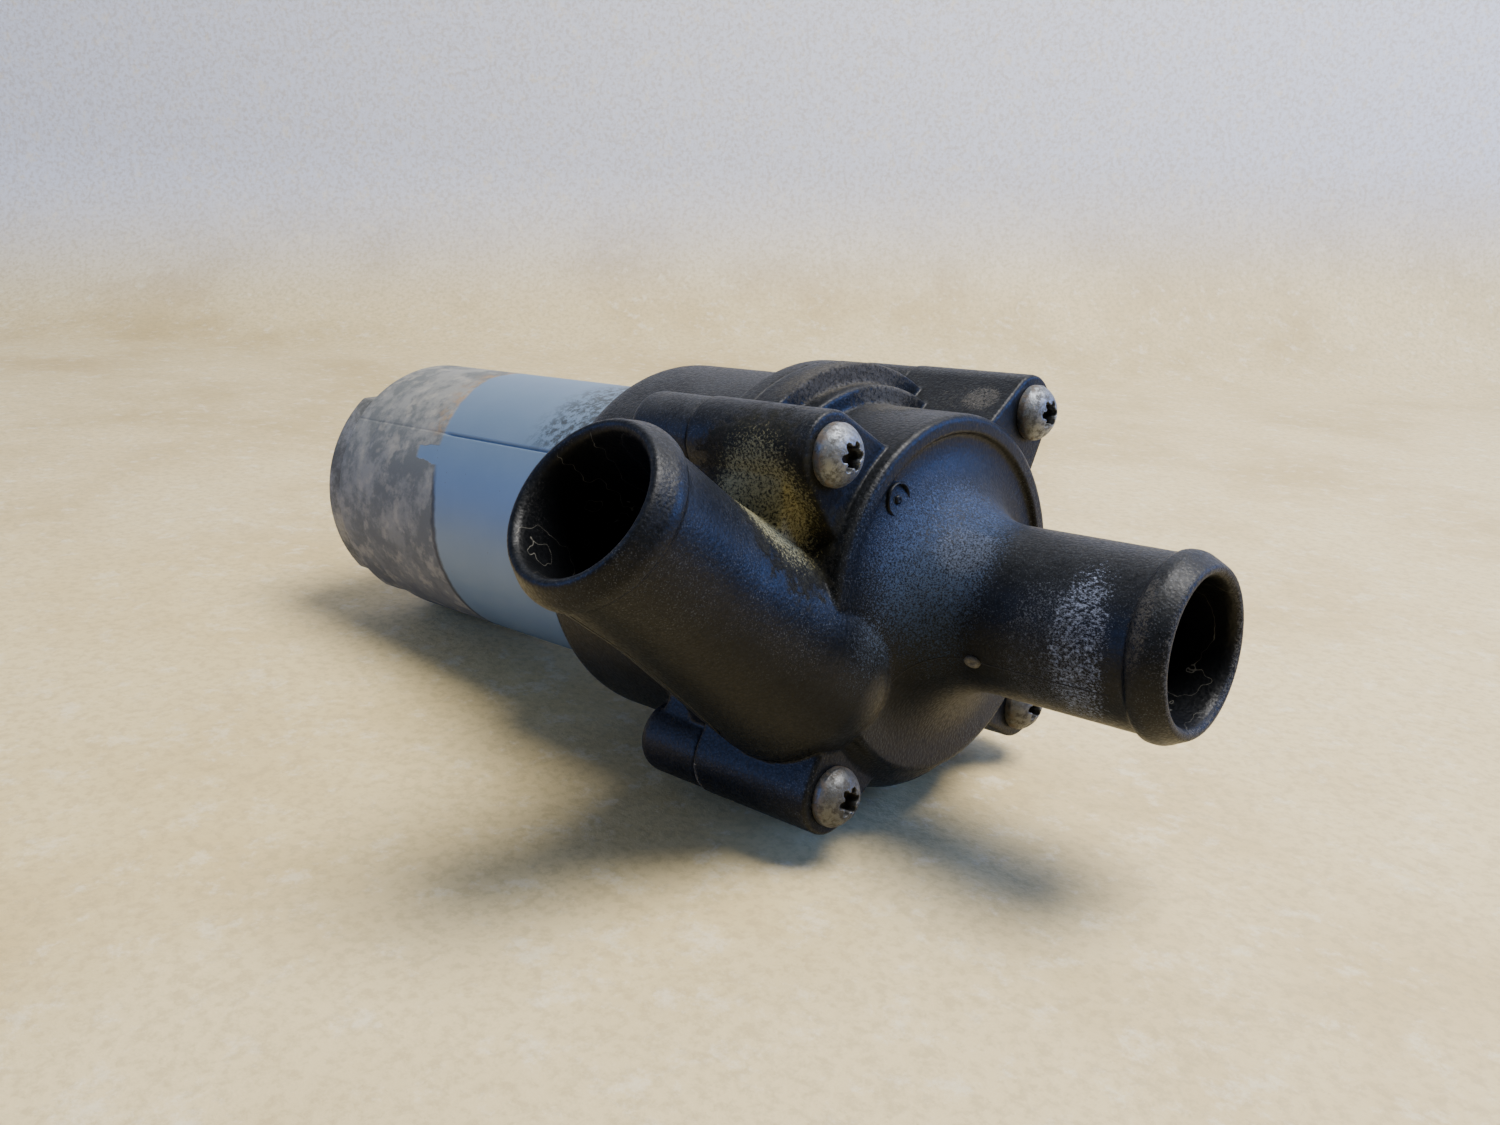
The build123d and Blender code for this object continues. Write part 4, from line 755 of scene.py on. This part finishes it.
# ---------------------------------------------------------------- sub-assemblies
@dataclass
class Cover:
    """The volute cover: flared inlet, swirl chamber and slanted outlet, melted into one moulding."""

    joint: float = -18.0
    front: float = 2.0
    chamber_r: float = 19.8
    body_r: float = 22.0
    swell_r: float = 22.6
    swell_offset: tuple[float, float] = (-1.141, -2.447)
    flange_r: float = 26.95
    step_r: float = 24.4
    spigot_r: float = 10.0
    bead_r: float = 10.6
    bead_len: float = 4.1
    lip_r: float = 9.5
    bore_r: float = 8.0
    inlet_mouth: float = 34.2
    outlet_mouth: float = 48.5
    outlet_foot: Point = (-9.1, -9.67, -12.11)
    outlet_rise: float = math.radians(38.6)
    screw_y: float = 19.87
    boss_r: float = 4.8
    ear_waist: float = 11.0
    ear_front: float = 0.0
    web_half: float = 3.9
    web_low: tuple[float, float] = (-22.17, -2.13)
    web_front: float = -3.5
    disc_sink: float = 0.8
    root_lean: float = 0.9

    def outlet_way(self) -> Vector:
        """The outlet's direction."""
        return Vector((0, -math.cos(self.outlet_rise), math.sin(self.outlet_rise)))

    def spigot_end(self, mouth: float) -> Outline:
        """The hose bead, lip and mouth of a spigot, from its land to its bore.

        Args:
            mouth: Where the spigot ends.

        Returns:
            The points as (station, radius).
        """
        step = mouth - self.bead_len
        bead = [(step, self.spigot_r), (step + 0.1, self.bead_r - 0.25)]
        bead += [(step + 0.35, self.bead_r - 0.05), (step + 0.7, self.bead_r)]
        taper = [(mouth - 2.7, self.bead_r), (mouth - 2.2, self.bead_r - 0.12)]
        taper += [(mouth - 0.45, self.lip_r + 0.1)]
        lip = [(mouth - 0.1, self.lip_r - 0.15), (mouth, self.lip_r - 0.35)]
        funnel = [(mouth, 8.7), (mouth - 0.55, 8.2), (mouth - 1.3, self.bore_r)]
        return bead + taper + lip + funnel

    def core(self) -> Outline:
        """The half outline of disc, flare and inlet.

        Returns:
            The points as (station, radius).
        """
        flare = arc((10.8, 18.8), 8.8, 180, 270, 26)
        rim = [(self.front - 0.9, self.body_r)] + arc((self.front - 0.9, self.body_r - 0.9), 0.9, 80, 10, 6)
        rim += [(self.front, 20.4), (self.front, 19.9), (self.front, 19.5), (self.front, 19.1)]
        inside = [(-1.5, self.bore_r), (-1.5, self.chamber_r), (self.joint, self.chamber_r)]
        return [(self.joint, self.body_r)] + rim + flare + self.spigot_end(self.inlet_mouth) + inside

    def swell(self) -> Outline:
        """The half outline of the swirl chamber's swelling.

        Returns:
            The points as (station, radius).
        """
        crown = arc((self.front - 6.5, self.swell_r - 6.5), 6.5, 90, 8, 16)
        inner = [(self.front - 0.6, 14.0), (0.0, 14.0)] + arc((-3.5, 16.4), 4.0, 10, 90, 6)
        return [(self.joint, self.swell_r)] + crown + inner + [(self.joint, 20.4)]

    def outlet(self) -> Outline:
        """The half outline of the outlet, from its round end to its mouth and back down the bore.

        Returns:
            The points as (station, radius).
        """
        dome = arc((10.4, 0.0), 12.2, 178, 90, 26)
        taper = [(17.0, 11.6), (22.0, 11.0), (31.0, 10.15), (34.0, self.spigot_r)]
        bore = [(10.0, self.bore_r), (8.0, 6.0), (8.0, 0.4)]
        return dome + taper + self.spigot_end(self.outlet_mouth) + bore

    def ear(self, side_y: int, side_z: int) -> Outline:
        """The outline of one screw ear, outside the swirl chamber.

        Args:
            side_y: -1 on the near side and 1 on the far side.
            side_z: -1 below and 1 above.

        Returns:
            The points as (y, z).
        """
        centre = np.array([side_y * self.screw_y, side_z * self.screw_y])
        out = centre / np.linalg.norm(centre)
        across = np.array([-out[1], out[0]])
        lean = math.acos((self.ear_waist - self.boss_r) / np.linalg.norm(centre))
        turn = np.linspace(-lean, lean, 30)
        ring = [centre + self.boss_r * (math.cos(t) * out + math.sin(t) * across) for t in turn]
        feet = []
        for side in (1, -1):
            touch = self.ear_waist * (math.cos(lean) * out + side * math.sin(lean) * across)
            feet.append(tuple(touch + 0.62 * (ring[-1 if side > 0 else 0] - touch)))
        return [tuple(p) for p in ring] + feet

    def web(self) -> Outline:
        """The outline of the solid web between the upper near ear and the outlet.

        Returns:
            The points as (y, z).
        """
        high = np.array([-self.screw_y, self.screw_y])
        low = np.array(self.web_low)
        way = (low - high) / np.linalg.norm(low - high)
        side = np.array([-way[1], way[0]])
        ends = []
        for centre, base in ((high, 180), (low, 0)):
            for t in np.radians(np.linspace(base - 90, base + 90, 12)):
                ends.append(tuple(centre + self.web_half * (math.cos(t) * way + math.sin(t) * side)))
        return ends

    def tilt_disc(self, shell: Shell) -> None:
        """Sinks the front disc a little inside its rim, most at the upper far side.

        Args:
            shell: The shell, whose first skin is the disc's.
        """
        points = shell.points[0]
        radius = np.hypot(points[:, 1], points[:, 2])
        on_disc = (points[:, 0] > 1.5) & (points[:, 0] < 12.0)
        on_disc &= (radius < 19.7) & (radius > 10.2)
        lean = np.clip(0.35 + 0.9 * (0.42 * points[:, 1] + 0.908 * points[:, 2]) / 19.0, 0, 1)
        fade = np.clip((12.0 - points[:, 0]) / 10.0, 0, 1)
        points[:, 0] -= np.where(on_disc, self.disc_sink * lean * fade, 0.0)

    def lean_root(self, shell: Shell) -> None:
        """Leans the outlet's root forward, so that its crest stands proud of the disc.

        Args:
            shell: The shell, whose last skin is the outlet's.
        """
        points = shell.points[-1]
        along = (points - np.array(self.outlet_foot)) @ np.array(self.outlet_way())
        points[:, 0] += self.root_lean * np.clip((28.0 - along) / 14.0, 0, 1) ** 1.5

    def clear_chamber(self, shell: Shell) -> None:
        """Presses the last skin's points out of the swirl chamber, against its wall.

        Args:
            shell: The shell, whose last skin is the outlet's.
        """
        points = shell.points[-1]
        reach = np.maximum(np.hypot(points[:, 1], points[:, 2]), 1.0)
        wall = self.chamber_r + 0.4
        inside = (points[:, 0] < -1.0) & (reach < wall)
        points[:, 1:] *= np.where(inside, wall / reach, 1.0)[:, None]

    def build(self, finish: MouldedNylon) -> None:
        """Builds and dresses the cover.

        Args:
            finish: The moulding's finish.
        """
        shell = Shell.empty()
        shell.lathe(self.core(), ALONG_X, 320)
        self.tilt_disc(shell)
        shell.lathe(self.swell(), Matrix.Translation((0, *self.swell_offset)) @ ALONG_X)
        for back, front, outer in ((self.joint, -13.8, self.flange_r), (-14.4, -11.2, self.step_r)):
            edge = [(front - 0.4, outer), (front - 0.1, outer - 0.1), (front, outer - 0.5)]
            shell.lathe([(back, outer), *edge, (front, 21.0), (back, 21.0)], ALONG_X)
        way = self.outlet_way()
        turn = Vector((0, 0, 1)).rotation_difference(way).to_matrix().to_4x4()
        shell.lathe(self.outlet(), Matrix.Translation(self.outlet_foot) @ turn)
        self.lean_root(shell)
        self.clear_chamber(shell)
        for side_y in (-1, 1):
            for side_z in (-1, 1):
                shell.prism(self.ear(side_y, side_z), self.joint, self.ear_front, 0.45)
        shell.prism(self.web(), self.joint, self.web_front, 1.2)
        cover = shell.build("cover_moulding")
        soften(cover, 0.22, 3)
        dress(cover, finish.build())
        mount(cover, "volute_cover")
        report(cover)


@dataclass
class Motor:
    """The motor's tube, with its drawn seam and the key notch at its rear rim."""

    front: float = -45.5
    rear: float = -105.0
    radius: float = 20.5
    wall: float = 1.9
    seam: float = 40.6
    seam_depth: float = 0.42
    key: float = -62.0
    key_half: float = 13.0
    key_depth: float = 1.2
    rim_round: float = 0.6
    swage_at: float = -98.6

    def relief(self, station: np.ndarray, angle: np.ndarray) -> np.ndarray:
        """Works out how far the skin lies under the tube's full radius.

        Args:
            station: Places along the axis.
            angle: Degrees up from the near side.

        Returns:
            The depth at each place, in millimetres.
        """
        # The seam fades out where the tube is soiled.
        seam = self.seam_depth * np.exp(-(((angle - self.seam) / 0.55) ** 2))
        seam = seam * np.clip((station + 81.0) / 2.5, 0.12, 1)
        off_key = np.abs((angle - self.key + 180) % 360 - 180)
        inside = np.clip((self.key_half - off_key) / 1.5, 0, 1)
        notch = self.key_depth * inside * np.clip((-98.0 - station) / 0.6, 0, 1)
        into_rim = np.clip(self.rear + self.rim_round - station, 0, self.rim_round)
        rim = self.rim_round - np.sqrt(np.clip(self.rim_round**2 - into_rim**2, 0, self.rim_round**2))
        swage = 0.12 * np.exp(-(((station - self.swage_at) / 0.8) ** 2))
        return seam + notch + rim + swage

    def build(self, finish: PassivatedTube) -> None:
        """Builds and dresses the tube.

        Args:
            finish: The tube's finish.
        """
        extra = np.linspace(self.seam - 2, self.seam + 2, 25)
        angles = np.unique(np.round(np.concatenate([np.linspace(-180, 180, 361)[:-1], extra]), 3))
        fine = np.linspace(self.rear, -97.0, 70)
        stations = np.concatenate([fine, np.linspace(-96.5, self.front, 90)])
        grid_x, grid_a = np.meshgrid(stations, angles, indexing="ij")
        outer = self.radius - self.relief(grid_x, grid_a)
        rows = [(grid_x, outer), (grid_x[::-1], np.full_like(outer, self.radius - self.wall))]
        points = []
        for place, radius in rows:
            turn = np.radians(grid_a)
            ring = np.stack([place, -radius * np.cos(turn), radius * np.sin(turn)], axis=-1)
            points.append(ring.reshape(-1, 3))
        count, around = 2 * len(stations), len(angles)
        faces = []
        for i in range(count):
            k = (i + 1) % count
            for j in range(around):
                m = (j + 1) % around
                faces.append((i * around + j, i * around + m, k * around + m, k * around + j))
        shell = Shell.empty()
        shell.take(np.vstack(points), faces)
        tube = shell.build("motor_tube")
        dress(tube, finish.build())
        mount(tube, "pole_tube")
        report(tube)


@dataclass
class MouldMarks:
    """Traces of moulding on the cover: flash lines, the ejector ring and the sheared gate's scar."""

    ring_at: Point = (1.72, -10.4, 13.6)
    scar_at: Point = (11.6, -9.55, -3.7)
    flare_x: float = 10.8
    flare_mid: float = 18.8
    flare_r: float = 8.8

    def inlet_path(self) -> Way:
        """Points and outward directions from the bead, past the gate and out over the flare.

        Returns:
            Points on the skin with their outward directions.
        """
        angle = math.atan2(self.scar_at[2], self.scar_at[1])
        path = []
        for x in np.linspace(28.4, self.flare_x, 12):
            out = np.array([0.0, math.cos(angle), math.sin(angle)])
            path.append((np.array([x, 0, 0]) + 9.99 * out, out))
        for turn in np.radians(np.linspace(266, 196, 16)):
            reach = self.flare_mid + self.flare_r * math.sin(turn)
            at = angle + 0.03 * (reach - 10)
            out = np.array([0.0, math.cos(at), math.sin(at)])
            foot = np.array([self.flare_x + self.flare_r * math.cos(turn), 0, 0])
            path.append((foot + reach * out, out + np.array([1.0, 0, 0])))
        return path

    def outlet_path(self, cover: Cover) -> Way:
        """Points and outward directions along the underside of the outlet.

        Args:
            cover: The cover.

        Returns:
            Points on the skin with their outward directions.
        """
        way = np.array(cover.outlet_way())
        down = np.array([0.0, way[1] * math.tan(cover.outlet_rise), way[1]])
        down /= np.linalg.norm(down)
        rows = [(15.0, 11.9), (17.0, 11.6), (22.0, 11.0), (31.0, 10.15), (34.0, 10.0), (42.7, 10.0)]
        stations = np.linspace(15.0, 42.7, 24)
        reach = np.interp(stations, [r[0] for r in rows], [r[1] for r in rows])
        foot = np.array(cover.outlet_foot)
        return [(foot + s * way + (r - 0.01) * down, down) for s, r in zip(stations, reach)]

    def line(self, name: str, path: Way, width: float) -> None:
        """Builds one fine flash line.

        Args:
            name: The piece's name.
            path: Points on the skin with their outward directions.
            width: Half the line's width in millimetres.
        """
        turns = np.linspace(0, 2 * np.pi, 8, endpoint=False)
        rows = []
        for i, (point, out) in enumerate(path):
            ahead = path[min(i + 1, len(path) - 1)][0] - path[max(i - 1, 0)][0]
            across = np.cross(ahead, out)
            across /= np.linalg.norm(across)
            rise = np.cross(across, ahead)
            rise /= np.linalg.norm(rise)
            rows.append([point + width * (0.7 * math.cos(t) * rise + math.sin(t) * across) for t in turns])
        last = 8 * len(rows) - 8
        faces = [tuple(range(8))[::-1], tuple(range(last, last + 8))]
        for i in range(len(rows) - 1):
            low, high = 8 * i, 8 * i + 8
            faces += [(low + j, low + (j + 1) % 8, high + (j + 1) % 8, high + j) for j in range(8)]
        shell = Shell.empty()
        shell.take(np.array(rows).reshape(-1, 3), faces)
        flash = shell.build(name)
        rubbed = MouldedNylon("rubbed polyamide " + name, base="#1d1e20", dust_level=1.0, salt_floor=0.7)
        dress(flash, rubbed.build())
        mount(flash)
        report(flash)

    def build(self, cover: Cover, finish: MouldedNylon, scar: Stock) -> None:
        """Builds and dresses every mark.

        Args:
            cover: The cover that they stand on.
            finish: The moulding's finish.
            scar: The sheared gate's finish.
        """
        self.line("inlet_flash", self.inlet_path(), 0.09)
        self.line("outlet_flash", self.outlet_path(cover), 0.12)
        shell = Shell.empty()
        place = Matrix.Translation(self.ring_at) @ ALONG_X
        shell.lathe([(-0.6, 2.0), (0.1, 2.0), (0.16, 1.9), (0.1, 1.75), (-0.6, 1.75)], place, 72)
        shell.lathe([(-0.6, 0.05), (-0.6, 0.5), (0.1, 0.5), (0.14, 0.35), (0.14, 0.05)], place, 36)
        ring = shell.build("mould_ring")
        dress(ring, finish.build())
        mount(ring)
        report(ring)
        shell = Shell.empty()
        out = Vector((0.28, self.scar_at[1], self.scar_at[2])).normalized()
        turn = Vector((0, 0, 1)).rotation_difference(out).to_matrix().to_4x4()
        squash = Matrix.Diagonal((1.05, 0.75, 0.8, 1))
        place = Matrix.Translation(self.scar_at) @ turn @ squash
        shell.lathe([(-0.8, 0.05), (-0.8, 1.0), (0.1, 0.95), (0.22, 0.7), (0.24, 0.05)], place, 40)
        gate = shell.build("gate_scar")
        dress(gate, scar.build())
        mount(gate)
        report(gate)


@dataclass
class CarriedOver:
    """CAD pieces that keep their own meshes and only take finishes and eased edges."""

    frame: dict

    def build(self, outer: dict[str, tuple[bpy.types.Material, float, int]]) -> None:
        """Dresses every CAD piece.

        Args:
            outer: Visible pieces by node: material, voxel in millimetres and smoothing passes.
        """
        slots = {part["node"]: part["material_slot"] for part in self.frame["record"]["subparts"]}
        inner = {finish.name: finish.value.build() for finish in Inner}
        for name, node in self.frame["nodes"].items():
            if name in ("volute_cover", "pole_tube"):
                continue
            if name in outer:
                material, voxel, passes = outer[name]
                dress(node, material)
                soften(node, voxel, passes)
            else:
                dress(node, inner[slots[name].upper()])
            report(node)


# ---------------------------------------------------------------- stage
@dataclass(frozen=True)
class Backdrop:
    """Matt painted board, rolled on in thin coats."""

    # To the eye: warm cream with faint darker clouds, pale flecks and a fibrous tooth, greyer up the wall.
    name: str = "pale backdrop board"
    cream: str = "#d3be88"
    cloud: str = "#baa26a"
    wall: str = "#cdd0d6"
    fibre: str = "#a08c60"
    fleck: str = "#e0d4b2"

    def build(self) -> bpy.types.Material:
        """Builds the material.

        Returns:
            The material.
        """
        graph = Graph(self.name)
        add = graph.add
        clouds = add("TexNoise", Vector=graph.mm, Scale=1 / 60, Detail=5.0, Roughness=0.6)
        fibres = add("TexNoise", Vector=graph.mm, Scale=1 / 1.5, Detail=4.0, Roughness=0.7)
        flecks = add("TexNoise", Vector=graph.mm, Scale=1 / 5, Detail=6.0, Roughness=0.75)
        shade = add("MapRange", clouds, 0.4, 0.72, **SMOOTH)
        colour = add("Mix", shade, srgb(self.cream), srgb(self.cloud), **BLEND)
        climb = add("MapRange", graph.z, 6.0, 70.0, **SMOOTH)
        colour = add("Mix", climb, colour, srgb(self.wall), **BLEND)
        tooth = add("Math", add("MapRange", fibres, 0.42, 0.66, **SMOOTH), 0.42, **TIMES)
        colour = add("Mix", tooth, colour, srgb(self.fibre), **BLEND)
        pale = add("Math", add("MapRange", flecks, 0.52, 0.68, **SMOOTH), 0.5, **TIMES)
        colour = add("Mix", pale, colour, srgb(self.fleck), **BLEND)
        skin = add("Bump", Height=fibres, Distance=0.15 * MM, Strength=1.0)
        return graph.finish(Base_Color=colour, Roughness=0.62, Normal=skin)


@dataclass
class Studio:
    """A pale floor that curves up into a pale wall, soft lights and the camera."""

    rest: Point = (-18.0, 0.0, -27.08)
    up: Point = (0.0767, 0.0, 0.99705)
    eye: Point = (88.41, -126.21, 44.72)
    right: Point = (0.7273, 0.6863, -0.0111)
    ahead: Point = (-0.6653, 0.7009, -0.2572)
    lens: float = 31.27
    wall_at: float = 545.0

    def floor(self) -> None:
        """Builds the floor and wall as one swept sheet."""
        up = Vector(self.up).normalized()
        right = Vector(self.right).normalized()
        side = (right - right.dot(up) * up).normalized()
        back = up.cross(side)
        foot = Vector(self.eye) - (Vector(self.eye) - Vector(self.rest)).dot(up) * up
        bend = 70.0
        run = [(-600.0, 0.0), (-100.0, 0.0), (200.0, 0.0), (self.wall_at - bend, 0.0)]
        turn = np.linspace(0.1, math.pi / 2, 14)
        run += [(self.wall_at - bend * (1 - math.sin(t)), bend * (1 - math.cos(t))) for t in turn]
        run += [(self.wall_at, 400.0), (self.wall_at, 800.0)]
        points = []
        for along, rise in run:
            for across in (-1100.0, 1100.0):
                points.append(foot + along * back + rise * up + across * side)
        faces = [(2 * i, 2 * i + 1, 2 * i + 3, 2 * i + 2) for i in range(len(run) - 1)]
        shell = Shell.empty()
        shell.take(np.array([tuple(p) for p in points]), faces)
        floor = shell.build("floor")
        dress(floor, Backdrop().build())
        floor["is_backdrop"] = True

    def lamp(self, name: str, place: Point, size: float, watts: float, tint: str) -> None:
        """Adds a square soft light aimed at the pump.

        Args:
            name: The light's name.
            place: Where it stands, in millimetres.
            size: Its side in metres.
            watts: Its power.
            tint: Its sRGB colour.
        """
        light = bpy.data.lights.new(name, "AREA")
        light.size = size
        light.energy = watts
        light.color = srgb(tint)[:3]
        thing = bpy.data.objects.new(name, light)
        thing.location = Vector(place) * MM
        aim = Vector((-20, 0, 0)) - Vector(place)
        thing.rotation_euler = aim.to_track_quat("-Z", "Y").to_euler()
        bpy.context.scene.collection.objects.link(thing)

    def camera(self) -> None:
        """Places the camera."""
        ahead = Vector(self.ahead).normalized()
        right = Vector(self.right).normalized()
        rise = right.cross(ahead)
        turn = Matrix((right, rise, -ahead)).transposed().to_4x4()
        data = bpy.data.cameras.new("camera")
        data.lens = self.lens
        data.sensor_width = 36.0
        data.clip_start = 0.01
        camera = bpy.data.objects.new("camera", data)
        camera.matrix_world = Matrix.Translation(Vector(self.eye) * MM) @ turn
        bpy.context.scene.collection.objects.link(camera)
        bpy.context.scene.camera = camera

    def build(self) -> None:
        """Builds the stage, the lights and the camera."""
        self.floor()
        self.lamp("overhead softbox", (240.0, 150.0, 620.0), 0.36, 13.0, "#fbf8f4")
        self.lamp("cool window", (430.0, 430.0, 200.0), 0.34, 4.9, "#729fff")
        self.lamp("left window", (-330.0, -560.0, 170.0), 0.42, 2.6, "#7fa8ff")
        world = bpy.data.worlds.new("soft room")
        world.use_nodes = True
        sky = world.node_tree.nodes["Background"]
        sky.inputs["Color"].default_value = srgb("#ccd6e6")
        sky.inputs["Strength"].default_value = 0.27
        bpy.context.scene.world = world
        self.camera()


def stains_and_sheen() -> tuple[StainAndSheen, ...]:
    """Lists the soil, salt and scuffs on the cover, with one painted highlight and a blue painted reflection
    in two salt patches.

    Returns:
        The patches, in the order in which they were laid down.
    """
    return (
        # Road soil on the web beside the outlet: a dark ground under olive specks.
        StainAndSheen((-7.0, -24.5, 12.5), (12.0, 11.0, 17.5), "#17170f", 0.8, 1.4, 0.42),
        StainAndSheen((-7.0, -24.5, 12.0), (12.0, 11.0, 17.5), "#98926c", 0.8, 0.32, 0.585),
        # Dust on top of the body.
        StainAndSheen((-4.0, 14.0, 22.0), (4.6, 5.0, 3.0), "#6f6b62", 0.5, 0.35, 0.6),
        StainAndSheen((-8.0, 5.0, 23.0), (9.0, 14.0, 5.0), "#4d4a42", 0.6, 0.5, 0.53),
        # Dried salt over the front disc and the flare, tinted blue: the blue is a painted reflection of the
        # cool lamps.
        StainAndSheen((5.0, -5.0, 5.0), (14.0, 22.0, 21.0), "#5f7cae", 0.26, 0.22, 0.6),
        # A painted highlight on the flare.
        StainAndSheen((8.5, -7.0, 8.5), (6.0, 7.0, 6.0), "#8a8a88", 0.14, 0.22, 0.6),
        # Dried salt round the outlet's root, its blue tint also a painted reflection.
        StainAndSheen((0.5, -17.0, -4.0), (6.0, 12.0, 11.0), "#7186aa", 0.34, 0.22, 0.61),
        # Salt that dried under the hose's end, thinner behind it.
        StainAndSheen((24.4, -8.6, 0.0), (6.6, 15.0, 17.0), "#aab6d2", 0.75, 0.28, 0.64, (1.4, 1.0, 1.0)),
        StainAndSheen((20.5, -8.6, -2.0), (10.5, 15.0, 17.0), "#8f97a8", 0.55, 0.24, 0.665),
        # Scuffs on the bead and round the mouth.
        StainAndSheen((30.9, -9.5, 5.0), (2.2, 9.0, 12.0), "#6a655c", 0.35, 0.24, 0.62),
        StainAndSheen((34.0, 0.0, 0.0), (0.9, 16.0, 16.0), "#7c7b77", 0.35, 0.3, 0.56),
        # Soil along the flange, below and on top.
        StainAndSheen((-18.0, -21.5, -21.5), (1.2, 9.0, 7.5), "#8b8171", 0.6, 0.35, 0.55),
        StainAndSheen((-15.5, -14.5, -22.5), (6.0, 13.0, 8.0), "#6f675a", 0.45, 0.35, 0.57),
        StainAndSheen((-14.5, 0.0, 25.0), (4.4, 22.0, 5.0), "#4f4b42", 0.6, 0.4, 0.55),
        # Light wear round the outlet's mouth.
        StainAndSheen((-9.1, -46.5, 17.2), (14.0, 5.0, 11.0), "#5c5b58", 0.2, 0.26, 0.59),
    )


def main() -> tuple:
    """Builds the scene.

    Returns:
        The bounds of the CAD frame on its own.
    """
    logging.basicConfig(level=logging.INFO, format="%(message)s")
    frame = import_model()
    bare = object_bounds()
    cover = Cover()
    bores = (((0.0, 0.0, 0.0), (1.0, 0.0, 0.0)), (cover.outlet_foot, tuple(cover.outlet_way())))
    cover.build(MouldedNylon("grained black polyamide cover", stains_and_sheen=stains_and_sheen(), bores=bores))
    mark = MouldedNylon("grained black polyamide mark")
    gate = Stock("sheared polyamide gate", "#3c3b38", "#5f5c55", 0.0, 0.75, 0.22, 0.08)
    MouldMarks().build(cover, mark, gate)
    Motor().build(PassivatedTube())
    housing = MouldedNylon("grained black polyamide housing", base="#060709", dust_level=0.34)
    outer = {
        "pump_housing": (housing.build(), 0.3, 8),
        "cover_screws": (ZincScrew().build(), 0.09, 2),
        "rear_cap": (SoiledSteel().build(), 0.22, 6),
        "motor_bolts": (ZincScrew("zinc-plated through bolt").build(), 0.12, 2),
    }
    CarriedOver(frame).build(outer)
    Studio().build()
    return bare


if __name__ == "__main__":
    cad_bounds = main()
